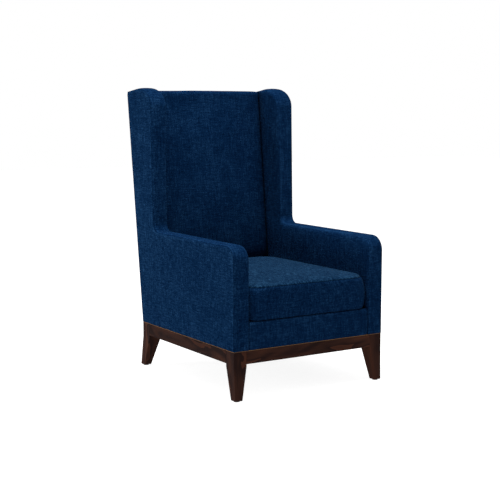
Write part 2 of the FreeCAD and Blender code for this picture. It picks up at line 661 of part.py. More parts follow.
def pillow(name, inset):
    """Boxed cushion block with rounded corners and a rolled top edge."""
    b = doc.addObject("PartDesign::Body", name)
    dx, dy, dz = cw - 2 * inset, cd - 2 * inset, chh - 2 * inset
    sk = polygon(b, name + "_plan", [(0.0, 0.0), (dx, 0.0), (dx, dy), (0.0, dy)], "XY_Plane")
    pd = b.newObject("PartDesign::Pad", name + "_pad")
    pd.Profile = sk
    pd.Length = dz.v
    pd.setExpression("Length", dz.e)
    doc.recompute()
    up = ["Edge%d" % i for i, e in enumerate(pd.Shape.Edges, start=1)
          if abs(e.Vertexes[0].Point.z - e.Vertexes[1].Point.z) > 10]
    f1 = b.newObject("PartDesign::Fillet", name + "_corners")
    f1.Base = (pd, up)
    r1 = D["cushion_corner"] - inset
    f1.Radius = r1.v
    f1.setExpression("Radius", r1.e)
    doc.recompute()
    hi = ["Edge%d" % i for i, e in enumerate(f1.Shape.Edges, start=1)
          if all(abs(v.Point.z - dz.v) < 0.01 for v in e.Vertexes)]
    f2 = b.newObject("PartDesign::Fillet", name + "_crown")
    f2.Base = (f1, hi)
    r2 = D["cushion_crown"] - inset
    f2.Radius = r2.v
    f2.setExpression("Radius", r2.e)
    b.Tip = f2
    doc.recompute()
    return put(b, cx0 + inset, cy0 + inset, cz + inset)


outer = pillow("cushion_outer", Q.of(0.0))
inner = pillow("cushion_inner", ct)
inner2 = pillow("cushion_core_block", ct)
node("cushion_core", inner2)
shell = cut("cushion_shell", outer, [inner])


def slice_of(label, z0, z1):
    """The part of the cushion's cover between two heights."""
    c = doc.addObject("Part::Common", label)
    c.Base = shell
    c.Tool = box(label + "_band", cx0 - 5.0, cy0 - 5.0, z0, cw + 10.0, cd + 10.0, z1 - z0)
    return node(label, c)


slice_of("cushion_bottom_panel", cz - 1.0, cz + ct)
slice_of("cushion_boxing", cz + ct, D["cushion_seam"])
slice_of("cushion_top_panel", D["cushion_seam"], D["cushion_top"] + 1.0)

# zip along the rear boxing: woven tape with its chain, and the slider that runs on it
zl, zy = D["zip_len"], D["cushion_rear"]
tape = box("zip_tape_strip", -zl / 2, zy, D["zip_z"] - D["zip_w"] / 2, zl, D["zip_thk"], D["zip_w"])
chain = box("zip_chain", -zl / 2, zy + D["zip_thk"], D["zip_z"] - D["chain_w"] / 2, zl,
            D["chain_thk"], D["chain_w"])
node("cushion_zip_tape", fuse("cushion_zip_tape", [tape, chain]))
sy0 = zy + D["zip_thk"] + D["chain_thk"] + D["slider_gap"]
plate = box("slider_plate", -zl / 2 + 6.0, sy0, D["zip_z"] - D["slider_w"] / 2, D["slider_l"],
            D["slider_thk"], D["slider_w"])
lips = [box("slider_lip_%d" % k, -zl / 2 + 6.0, sy0 - 1.6, zz, D["slider_l"], 1.6, 1.1)
        for k, zz in enumerate((D["zip_z"] - D["slider_w"] / 2, D["zip_z"] + D["slider_w"] / 2 - 1.1))]
node("cushion_zip_slider", fuse("cushion_zip_slider", [plate] + lips))

# -------------------------------------------------------------------- output
doc.recompute()
bad = [o.Name for o in doc.Objects if "Invalid" in o.State or "Error" in o.State]
if bad:
    raise SystemExit("failed objects: %s" % bad)
os.makedirs("parts", exist_ok=True)
lo, hi = [1e9] * 3, [-1e9] * 3
for label, obj in nodes:
    shape = obj.Shape
    if shape.isNull() or not shape.isValid() or not shape.Solids or shape.Volume <= 0:
        raise SystemExit("bad shape: %s" % label)
    bb = shape.BoundBox
    lo = [min(lo[0], bb.XMin), min(lo[1], bb.YMin), min(lo[2], bb.ZMin)]
    hi = [max(hi[0], bb.XMax), max(hi[1], bb.YMax), max(hi[2], bb.ZMax)]
    print("%-26s solids %2d  vol %10.1f cm3  y %.1f..%.1f z %.1f..%.1f" % (
        label, len(shape.Solids), shape.Volume / 1000, bb.YMin, bb.YMax, bb.ZMin, bb.ZMax))
    shape.exportStep("parts/%s.step" % label)
print(len(nodes), "nodes; box", [round(v, 2) for v in lo], [round(v, 2) for v in hi])
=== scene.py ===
import math
import bpy
import numpy as np
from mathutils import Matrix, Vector, noise
from mathutils.geometry import delaunay_2d_cdt

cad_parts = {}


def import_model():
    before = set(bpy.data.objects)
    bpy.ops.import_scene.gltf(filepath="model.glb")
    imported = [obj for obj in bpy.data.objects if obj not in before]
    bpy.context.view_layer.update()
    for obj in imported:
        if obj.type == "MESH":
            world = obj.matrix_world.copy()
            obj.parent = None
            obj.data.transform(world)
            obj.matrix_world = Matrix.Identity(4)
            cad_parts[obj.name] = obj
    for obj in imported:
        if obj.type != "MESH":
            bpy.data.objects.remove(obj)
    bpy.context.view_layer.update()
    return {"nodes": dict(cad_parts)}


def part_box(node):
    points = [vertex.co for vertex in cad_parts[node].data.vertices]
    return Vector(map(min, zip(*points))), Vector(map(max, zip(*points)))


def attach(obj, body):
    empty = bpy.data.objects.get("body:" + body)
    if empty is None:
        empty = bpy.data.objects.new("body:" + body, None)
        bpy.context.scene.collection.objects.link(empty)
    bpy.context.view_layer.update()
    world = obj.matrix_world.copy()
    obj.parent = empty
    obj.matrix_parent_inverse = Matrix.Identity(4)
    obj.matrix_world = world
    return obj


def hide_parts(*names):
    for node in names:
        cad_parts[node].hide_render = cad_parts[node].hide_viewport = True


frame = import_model()


scene = bpy.context.scene

# ------------------------------------------------------------------ the frame's own measures
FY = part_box("outer_side_cover_left")[0].y          # front plane of the upholstery
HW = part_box("outer_side_cover_right")[1].x         # half width over the sides
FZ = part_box("outer_side_cover_left")[0].z          # lower edge of the upholstery
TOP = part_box("outer_side_cover_left")[1].z         # wing tops
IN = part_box("inner_side_cover_right")[0].x         # inner plane of arms and wings
CUSH_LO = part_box("cushion_bottom_panel")[0]
CUSH_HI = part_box("cushion_top_panel")[1]
SEAM_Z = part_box("cushion_boxing")[1].z
BORDER_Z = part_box("front_border_cover")[1].z
DECK_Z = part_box("deck_cloth")[1].z
ARM_Z = 0.591
RAKE, REAR0 = 0.125, 0.748
FACE0, FRAKE = 0.70482, 0.11
WING0, WING1 = 0.6417, 0.6560


def rear(z):
    return REAR0 + RAKE * (z - FZ)


def face(z):
    return FACE0 + FRAKE * (z - FZ + 0.028)


def wing(z):
    return WING0 + (WING1 - WING0) * (z - ARM_Z) / (TOP - ARM_Z)


def n3(a, b=0.0, c=0.0):
    return noise.noise(Vector((a, b, c)))


def sstep(a, b, x):
    t = min(max((x - a) / (b - a), 0.0), 1.0)
    return t * t * (3 - 2 * t)


# ------------------------------------------------------------------ path and panel tools
def rounded(pts, radii, step, closed=False):
    """A polyline through pts with rounded corners, sampled about every step."""
    pts = [np.array(p, float) for p in pts]
    n = len(pts)
    out = []
    ends = []
    for i, p in enumerate(pts):
        r = radii[i]
        if not isinstance(r, tuple) and (r <= 0 or (not closed and i in (0, n - 1))):
            ends.append((p, p, None))
            continue
        a, b = pts[i - 1] - p, pts[(i + 1) % n] - p
        a, b = a / np.linalg.norm(a), b / np.linalg.norm(b)
        if isinstance(r, tuple):                 # an elliptical corner: its reach along either side
            ends.append((p + a * r[0], p + b * r[1], (p, a * r[0], b * r[1])))
            continue
        ang = math.acos(float(np.clip(a @ b, -1, 1)))
        t = r / math.tan(ang / 2)
        room = 0.48 * min(np.linalg.norm(pts[i - 1] - p), np.linalg.norm(pts[(i + 1) % n] - p))
        if t > room:
            t, r = room, room * math.tan(ang / 2)
        bis = (a + b) / np.linalg.norm(a + b)
        c = p + bis * (r / math.sin(ang / 2))
        ends.append((p + a * t, p + b * t, (c, r)))
    for i in range(n):
        p_in, p_out, arc = ends[i]
        if arc is None:
            out.append(p_in)
        elif len(arc) == 3:
            q, a, b = arc
            m = max(6, int(1.6 * (np.linalg.norm(a) + np.linalg.norm(b)) / 2 / step))
            for k in range(m + 1):
                th = math.pi / 2 * k / m
                out.append(q + a * (1 - math.sin(th)) + b * (1 - math.cos(th)))
        else:
            c, r = arc
            a0 = math.atan2(*(p_in - c)[::-1])
            a1 = math.atan2(*(p_out - c)[::-1])
            d = (a1 - a0 + math.pi) % (2 * math.pi) - math.pi
            m = max(4, int(abs(d) * r / step + 0.5), int(abs(d) / 0.16))
            for k in range(m + 1):
                a = a0 + d * k / m
                out.append(c + r * np.array([math.cos(a), math.sin(a)]))
        if i < n - 1 or closed:
            q = ends[(i + 1) % n][0]
            p0 = out[-1]
            length = np.linalg.norm(q - p0)
            m = max(1, int(length / step + 0.5))
            for k in range(1, m):
                out.append(p0 + (q - p0) * k / m)
    return np.array(out)


def arc_length(path):
    seg = np.linalg.norm(np.diff(path, axis=0), axis=1)
    return np.concatenate([[0], np.cumsum(seg)])


def left_normals(path, closed=False):
    """Unit normals on the left of the direction of travel."""
    nxt = np.roll(path, -1, 0) - path
    prv = path - np.roll(path, 1, 0)
    if not closed:
        nxt[-1] = prv[-1]
        prv[0] = nxt[0]
    nn = []
    for a, b in zip(prv, nxt):
        a, b = a / max(np.linalg.norm(a), 1e-9), b / max(np.linalg.norm(b), 1e-9)
        t = a + b
        t = t / max(np.linalg.norm(t), 1e-9)
        nrm = np.array([-t[1], t[0]])
        c = max(0.35, float(nrm @ np.array([-b[1], b[0]])))
        nn.append(nrm / c)
    return np.array(nn)


def seg_dist(p, loop, closed=True):
    """Distance of every p to the loop, and the arc length of the nearest point."""
    a = loop
    b = np.roll(loop, -1, 0)
    if not closed:
        a, b = a[:-1], b[:-1]
    ln = np.linalg.norm(b - a, axis=1)
    s0 = np.concatenate([[0], np.cumsum(ln)])[:-1]
    d = np.empty(len(p))
    s = np.empty(len(p))
    ab = b - a
    l2 = np.maximum((ab ** 2).sum(1), 1e-12)
    for i0 in range(0, len(p), 2000):
        q = p[i0:i0 + 2000]
        t = np.clip(((q[:, None] - a[None]) * ab[None]).sum(2) / l2[None], 0, 1)
        near = a[None] + ab[None] * t[..., None]
        dd = np.linalg.norm(q[:, None] - near, axis=2)
        k = dd.argmin(1)
        d[i0:i0 + 2000] = dd[np.arange(len(q)), k]
        s[i0:i0 + 2000] = s0[k] + t[np.arange(len(q)), k] * ln[k]
    return d, s


def inside(p, loop):
    x, y = p[:, 0], p[:, 1]
    c = np.zeros(len(p), bool)
    a, b = loop, np.roll(loop, -1, 0)
    for (x1, y1), (x2, y2) in zip(a, b):
        if y1 == y2:
            continue
        hit = ((y1 > y) != (y2 > y)) & (x < (x2 - x1) * (y - y1) / (y2 - y1) + x1)
        c ^= hit
    return c


def flat_panel(loop, spacing, rings=(0.0009, 0.0021, 0.0038, 0.0062, 0.0098, 0.015)):
    """Points and triangles of a panel whose border is loop, finer near the border."""
    area = 0.5 * np.sum(loop[:, 0] * np.roll(loop[:, 1], -1) - np.roll(loop[:, 0], -1) * loop[:, 1])
    nrm = left_normals(loop, True) * (1 if area > 0 else -1)
    pts = [loop]
    for r in rings:
        q = loop + nrm * r
        d, _ = seg_dist(q, loop)
        pts.append(q[(d > r * 0.9) & inside(q, loop)])
    lo, hi = loop.min(0), loop.max(0)
    rows = []
    y = lo[1]
    k = 0
    while y < hi[1]:
        xs = np.arange(lo[0] + (spacing / 2 if k % 2 else 0), hi[0], spacing)
        rows.append(np.stack([xs, np.full(len(xs), y)], 1))
        y += spacing * 0.87
        k += 1
    g = np.concatenate(rows)
    g = g[inside(g, loop)]
    d, _ = seg_dist(g, loop)
    pts.append(g[d > rings[-1] + spacing * 0.55])
    allp = np.concatenate(pts)
    n = len(loop)
    res = delaunay_2d_cdt([Vector(p) for p in allp], [], [list(range(n))], 1, 1e-6)
    v = np.array([[q[0], q[1]] for q in res[0]])
    f = [tuple(t) for t in res[2]]
    d, s = seg_dist(v, loop)
    return v, f, d, s


def make(name, verts, faces, cloth, flip=False, seam=None, deep=None):
    me = bpy.data.meshes.new(name)
    me.from_pydata([tuple(map(float, v)) for v in verts], [], [tuple(f)[::-1] if flip else tuple(f) for f in faces])
    me.update()
    at = me.attributes.new("cloth", "FLOAT_VECTOR", "POINT")
    at.data.foreach_set("vector", np.asarray(cloth, np.float32).ravel())
    # distance to the nearest seam, which sets the painted shade in the seam and the painted highlight beside it, and
    # the amount of painted shade for tucks, creases and hollows
    for key, vals, dflt in (("seam", seam, 0.05), ("deep", deep, 0.0)):
        at = me.attributes.new(key, "FLOAT", "POINT")
        at.data.foreach_set("value", np.full(len(verts), dflt, np.float32) if vals is None
                            else np.asarray(vals, np.float32))
    me.polygons.foreach_set("use_smooth", [True] * len(me.polygons))
    ob = bpy.data.objects.new(name, me)
    scene.collection.objects.link(ob)
    return ob


def grid(name, us, vs, fn, cl, flip=False, wrap=False, sm=None, dp=None):
    """A quad grid: fn(u, v) gives the point, cl(u, v) the place on the cloth."""
    verts, cloth, faces, seam, deep = [], [], [], [], []
    for v in vs:
        for u in us:
            verts.append(fn(u, v))
            cloth.append(cl(u, v))
            seam.append(sm(u, v) if sm else 0.05)
            deep.append(dp(u, v) if dp else 0.0)
    nu, nv = len(us), len(vs)
    for j in range(nv - 1):
        for i in range(nu - 1 if not wrap else nu):
            a = j * nu + i
            b = j * nu + (i + 1) % nu
            faces.append((a, b, b + nu, a + nu))
    return make(name, verts, faces, cloth, flip, seam, deep)


def thicken(ob, t=0.003):
    m = ob.modifiers.new("thickness", "SOLIDIFY")
    m.thickness = t
    m.offset = -1
    return ob


def spaced(a, b, n, edge):
    """n values from a to b, closer together within edge of both ends."""
    t = np.linspace(0, 1, n)
    k = 0.5 - 0.5 * np.cos(np.pi * t)
    w = 0.55
    return a + (b - a) * (w * k + (1 - w) * t) if edge else a + (b - a) * t


# ------------------------------------------------------------------ materials
def nt_of(name):
    m = bpy.data.materials.new(name)
    m.use_nodes = True
    return m, m.node_tree, m.node_tree.nodes["Principled BSDF"]


class T:
    """Short hand for building a node tree."""

    def __init__(self, tree):
        self.t = tree

    def node(self, kind, **kw):
        n = self.t.nodes.new(kind)
        for k, v in kw.items():
            setattr(n, k, v)
        return n

    def link(self, a, b):
        self.t.links.new(a, b)

    def math(self, op, a, b=None, c=None, clamp=False):
        n = self.node("ShaderNodeMath", operation=op, use_clamp=clamp)
        for i, x in enumerate((a, b, c)):
            if x is None:
                continue
            if hasattr(x, "is_linked"):
                self.link(x, n.inputs[i])
            else:
                n.inputs[i].default_value = x
        return n.outputs[0]

    def scale(self, vec, s, loc=(0, 0, 0), rot=(0, 0, 0)):
        n = self.node("ShaderNodeMapping")
        n.inputs["Scale"].default_value = s
        n.inputs["Location"].default_value = loc
        n.inputs["Rotation"].default_value = rot
        self.link(vec, n.inputs["Vector"])
        return n.outputs[0]

    def noise(self, vec, scale, detail=2.0, rough=0.5, dist=0.0):
        n = self.node("ShaderNodeTexNoise")
        n.inputs["Scale"].default_value = scale
        n.inputs["Detail"].default_value = detail
        n.inputs["Roughness"].default_value = rough
        n.inputs["Distortion"].default_value = dist
        self.link(vec, n.inputs["Vector"])
        return n.outputs["Fac"]

    def ramp(self, fac, stops, mode="LINEAR"):
        n = self.node("ShaderNodeValToRGB")
        n.color_ramp.interpolation = mode
        e = n.color_ramp.elements
        e[0].position, e[0].color = stops[0][0], (*stops[0][1], 1)
        e[1].position, e[1].color = stops[1][0], (*stops[1][1], 1)
        for p, c in stops[2:]:
            k = e.new(p)
            k.color = (*c, 1)
        self.link(fac, n.inputs[0])
        return n.outputs[0]

    def mix(self, fac, a, b, blend="MIX"):
        n = self.node("ShaderNodeMix", data_type="RGBA", blend_type=blend)
        for sock, x in ((n.inputs[0], fac), (n.inputs[6], a), (n.inputs[7], b)):
            if hasattr(x, "is_linked"):
                self.link(x, sock)
            elif isinstance(x, tuple):
                sock.default_value = (*x, 1)
            else:
                sock.default_value = x
        return n.outputs[2]


def fabric(name, dark, mid, light, sheen=0.010, bump=0.6, contrast=1.08, laid=0.8, fine=1.0, slub=1.0,
           tint=(0.32, 0.66, 1.0)):
    m, tree, p = nt_of(name)
    t = T(tree)
    at = t.node("ShaderNodeAttribute", attribute_name="cloth")
    c = at.outputs["Vector"]
    # slubs along the warp and along the weft, each a few millimetres wide
    warp = t.noise(t.scale(c, (210, 27 * slub, 9)), 1.0, 2.0, 0.5)
    weft = t.noise(t.scale(c, (35 * slub, 200, 11), loc=(7, 3, 1)), 1.0, 2.0, 0.5)
    fleck = t.noise(t.scale(c, (190, 170, 13), loc=(2, 9, 4)), 1.0, 2.0, 0.6)
    grain = t.noise(t.scale(c, (250, 230, 17), loc=(5, 2, 7)), 1.0, 1.0, 0.5)
    # weft slubs crowd together in bands, and a thick warp end shows now and then
    bands = t.noise(t.scale(c, (2.5, 34, 19), loc=(3, 6, 1)), 1.0, 1.0, 0.5)
    ends = t.noise(t.scale(c, (62, 0.9, 23), loc=(8, 1, 3)), 1.0, 1.0, 0.4)
    ends = t.math("MULTIPLY", t.math("SUBTRACT", ends, 0.62), 5.0, clamp=True)
    # laid pile: soft patches a few centimetres across, and broader ones
    patch = t.noise(t.scale(c, (26, 15, 5), loc=(1, 5, 2)), 1.0, 4.0, 0.62, 0.4)
    broad = t.noise(t.scale(c, (7.0, 4.5, 3), loc=(4, 1, 8)), 1.0, 2.0, 0.5, 0.3)
    v = t.math("MULTIPLY", warp, 0.34 * fine)
    v = t.math("MULTIPLY_ADD", weft, 0.32 * fine, v)
    v = t.math("MULTIPLY_ADD", grain, 0.36 * fine, v)
    v = t.math("MULTIPLY_ADD", patch, 0.18 * laid, v)
    v = t.math("MULTIPLY_ADD", broad, 0.20 * laid, v)
    v = t.math("SUBTRACT", v, 0.5 * (1.02 * fine + 0.38 * laid) - 0.5)
    v = t.math("MULTIPLY_ADD", ends, 0.05, v)
    # dark flecks where the pile has parted
    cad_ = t.math("MULTIPLY", t.math("SUBTRACT", 0.47, fleck), 5.5, clamp=True)
    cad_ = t.math("MULTIPLY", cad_, t.math("MULTIPLY_ADD", bands, 2.4, -0.62, clamp=True))
    v = t.math("MULTIPLY_ADD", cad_, -0.17, v)
    if contrast != 1.0:
        v = t.math("MULTIPLY_ADD", v, contrast, 0.5 - 0.5 * contrast)
    sm = t.node("ShaderNodeAttribute", attribute_name="seam").outputs["Fac"]
    dp = t.node("ShaderNodeAttribute", attribute_name="deep").outputs["Fac"]
    # painted shade darkens the cloth in the seam, and a painted highlight lightens the roll beside it
    seam_shade = t.math("SUBTRACT", 1.0, t.math("MULTIPLY", sm, 1 / 0.0030), clamp=True)
    roll_highlight = t.math("SUBTRACT", 1.0, t.math("ABSOLUTE", t.math("MULTIPLY_ADD", sm, 1 / 0.0045, -1.75)), clamp=True)
    v = t.math("MULTIPLY_ADD", roll_highlight, 0.042, v)
    col = t.ramp(v, [(0.27, dark), (0.50, mid), (0.73, light)])
    # painted shade: seams, tucks and creases fade the colour towards near-black navy
    shade = t.math("MULTIPLY_ADD", seam_shade, 0.85, t.math("MULTIPLY", dp, 0.9), clamp=True)
    col = t.mix(shade, col, (0.0, 0.0002, 0.0012))
    t.link(col, p.inputs["Base Color"])
    # the yarn itself
    wv1 = t.node("ShaderNodeTexWave", wave_type="BANDS", bands_direction="X", wave_profile="SIN")
    wv2 = t.node("ShaderNodeTexWave", wave_type="BANDS", bands_direction="Y", wave_profile="SIN")
    for w in (wv1, wv2):
        w.inputs["Scale"].default_value = 160.0
        w.inputs["Distortion"].default_value = 2.5
        w.inputs["Detail"].default_value = 2.0
        w.inputs["Detail Scale"].default_value = 2.0
        t.link(c, w.inputs["Vector"])
    yarn = t.math("MAXIMUM", wv1.outputs["Fac"], wv2.outputs["Fac"])
    h = t.math("MULTIPLY_ADD", warp, 0.9, t.math("MULTIPLY", yarn, 0.35))
    h = t.math("MULTIPLY_ADD", weft, 0.9, h)
    h = t.math("MULTIPLY_ADD", fleck, 0.6, h)
    b = t.node("ShaderNodeBump")
    b.inputs["Strength"].default_value = bump
    b.inputs["Distance"].default_value = 0.0012
    t.link(h, b.inputs["Height"])
    t.link(b.outputs[0], p.inputs["Normal"])
    r = t.math("MULTIPLY_ADD", v, -0.25, 1.0, clamp=True)
    t.link(r, p.inputs["Roughness"])
    p.inputs["Specular IOR Level"].default_value = 0.0
    p.inputs["Sheen Weight"].default_value = sheen
    p.inputs["Sheen Roughness"].default_value = 0.3
    p.inputs["Sheen Tint"].default_value = (*tint, 1)
    return m


def wood(name, axis, seed, tone=1.0, dark=(0.0092, 0.0044, 0.0040), mid=(0.0190, 0.0080, 0.0058),
         light=(0.0300, 0.0112, 0.0070), edge=True, rough=0.60):
    """Stained walnut with the grain along axis."""
    m, tree, p = nt_of(name)
    t = T(tree)
    co = t.node("ShaderNodeTexCoord").outputs["Object"]
    rot = {"X": (0, 0, 0), "Y": (0, 0, math.radians(90)), "Z": (0, math.radians(90), 0)}[axis]
    c = t.scale(co, (1, 1, 1), loc=(seed, seed * 0.37, seed * 0.71), rot=rot)
    # figure: long flame shapes, soft edged
    warp = t.noise(t.scale(c, (2.2, 9, 9)), 1.0, 3.0, 0.55)
    wn = t.node("ShaderNodeVectorMath", operation="MULTIPLY_ADD")
    t.link(warp, wn.inputs[0])
    wn.inputs[1].default_value = (0.05, 0.05, 0.05)
    t.link(c, wn.inputs[2])
    fig = t.noise(t.scale(wn.outputs[0], (4.6, 21, 21)), 1.0, 2.0, 0.45, 0.5)
    pores = t.noise(t.scale(wn.outputs[0], (26, 700, 700)), 1.0, 3.0, 0.6)
    lines = t.noise(t.scale(wn.outputs[0], (5, 190, 190)), 1.0, 3.0, 0.6)
    # the figure has a soft body and a fairly crisp edge, like growth rings cut across
    rings = t.math("FRACT", t.math("MULTIPLY", fig, 2.6))
    v = t.math("MULTIPLY_ADD", lines, 0.24, t.math("MULTIPLY", rings, 0.58))
    v = t.math("MULTIPLY_ADD", pores, 0.10, v)
    v = t.math("MULTIPLY_ADD", fig, 0.24, v)
    dark, mid, light = ([c_ * tone for c_ in q] for q in (dark, mid, light))
    col = t.ramp(v, [(0.30, dark), (0.55, mid), (0.85, light)], "EASE")
    if edge:
        # painted highlight: a lighter amber colour on the lacquered top arris of the plinth, where it catches the light
        pos = t.node("ShaderNodeSeparateXYZ")
        t.link(co, pos.inputs[0])
        k = t.math("SUBTRACT", pos.outputs[2], FZ - 0.0017)
        k = t.math("MULTIPLY", k, 1500.0, clamp=True)
        col = t.mix(k, col, (0.11, 0.060, 0.026))
    t.link(col, p.inputs["Base Color"])
    r = t.math("MULTIPLY_ADD", lines, 0.16, rough - 0.08, clamp=True)
    t.link(r, p.inputs["Roughness"])
    b = t.node("ShaderNodeBump")
    b.inputs["Strength"].default_value = 0.22
    b.inputs["Distance"].default_value = 0.0006
    t.link(pores, b.inputs["Height"])
    t.link(b.outputs[0], p.inputs["Normal"])
    p.inputs["Specular IOR Level"].default_value = 0.01
    return m


def plain(name, a, b, scale, rough, metallic=0.0, bump=0.15, stretch=(1, 1, 1)):
    """Two tones broken up by noise, for pieces seen only from below or inside."""
    m, tree, p = nt_of(name)
    t = T(tree)
    co = t.node("ShaderNodeTexCoord").outputs["Object"]
    n = t.noise(t.scale(co, stretch), scale, 4.0, 0.6)
    t.link(t.ramp(n, [(0.3, a), (0.7, b)]), p.inputs["Base Color"])
    t.link(t.math("MULTIPLY_ADD", n, 0.2, rough - 0.1, clamp=True), p.inputs["Roughness"])
    bp = t.node("ShaderNodeBump")
    bp.inputs["Strength"].default_value = bump
    bp.inputs["Distance"].default_value = 0.0006
    t.link(n, bp.inputs["Height"])
    t.link(bp.outputs[0], p.inputs["Normal"])
    p.inputs["Metallic"].default_value = metallic
    return m


NAVY_D = (0.0002, 0.0026, 0.0112)
NAVY_M = (0.0012, 0.0078, 0.0265)
NAVY_L = (0.0056, 0.0235, 0.0610)
FAB = fabric("cover_fabric", NAVY_D, NAVY_M, NAVY_L)
# the seat top: a lighter, greyer copy of the cover as painted light for the overhead light it catches; its pile pattern
# is flatter and more broken up, with more sheen
FAB_TOP_LIT = fabric("cover_fabric_seat_lit", (0.0004, 0.0032, 0.0114), (0.0019, 0.0092, 0.0240), (0.0072, 0.0250, 0.0530),
              sheen=0.030, contrast=1.38, laid=0.62, fine=1.1, slub=1.3, tint=(0.55, 0.80, 1.0))
# the outsides of the arms: a lighter, greyer copy of the cover as painted light for the side light they catch, with a
# stronger pattern
FAB_OUTSIDE_LIT = fabric("cover_fabric_outside_lit", NAVY_D, (0.0014, 0.0083, 0.0262), (0.0066, 0.0245, 0.0600), contrast=1.26, laid=0.68)

# ------------------------------------------------------------------ sides: arm and wing
SEAM_OUT = HW - 0.0018      # x of the outer seam
SEAM_IN = IN + 0.0030       # x of the inner seam
REC = 0.0010                # how far the seam sits inside the outline


def outline(inset, floor, rear_inset=0.0):
    """Corners of the arm-and-wing outline in (y, z), front bottom to rear bottom."""
    return [(inset, floor), (inset, ARM_Z - inset), (wing(ARM_Z) + inset, ARM_Z - inset),
            (wing(TOP) + inset, TOP - inset - 0.0040), (0.770, TOP - inset - 0.0040),
            (rear(1.1745) - rear_inset, 1.1730 - inset), (rear(floor) - rear_inset, floor)]


RADII = [0, 0.055, 0.038, (0.073, 0.107), 0.30, 0.013, 0]


def world(x, y, z):
    return (x, y + FY, z)


def pucker(s, d, seed, amp=0.00045):
    """Small gathers that run out from a seam."""
    a = n3(s * 52.0, seed, 0.3) + 0.6 * n3(s * 95.0, seed + 5, 1.7)
    return amp * a * math.exp(-d / 0.013) * (1 - math.exp(-d / 0.003))


def swell(y, z, seed, amp=0.0010):
    """Slow unevenness of hand-laid padding."""
    return amp * (n3(y * 6.5, z * 6.5, seed) + 0.5 * n3(y * 15, z * 15, seed + 3))


pieces = []


def declare(ob, body, nodes):
    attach(ob, body)
    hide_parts(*nodes)
    pieces.append(ob)
    return ob


def thick(y, z):
    """The wings are padded thicker towards the head, above the way the cushion lifts out."""
    return 0.0055 * sstep(0.83, 1.03, z) * (1 - sstep(-0.05, 0.005, y - face(z)))


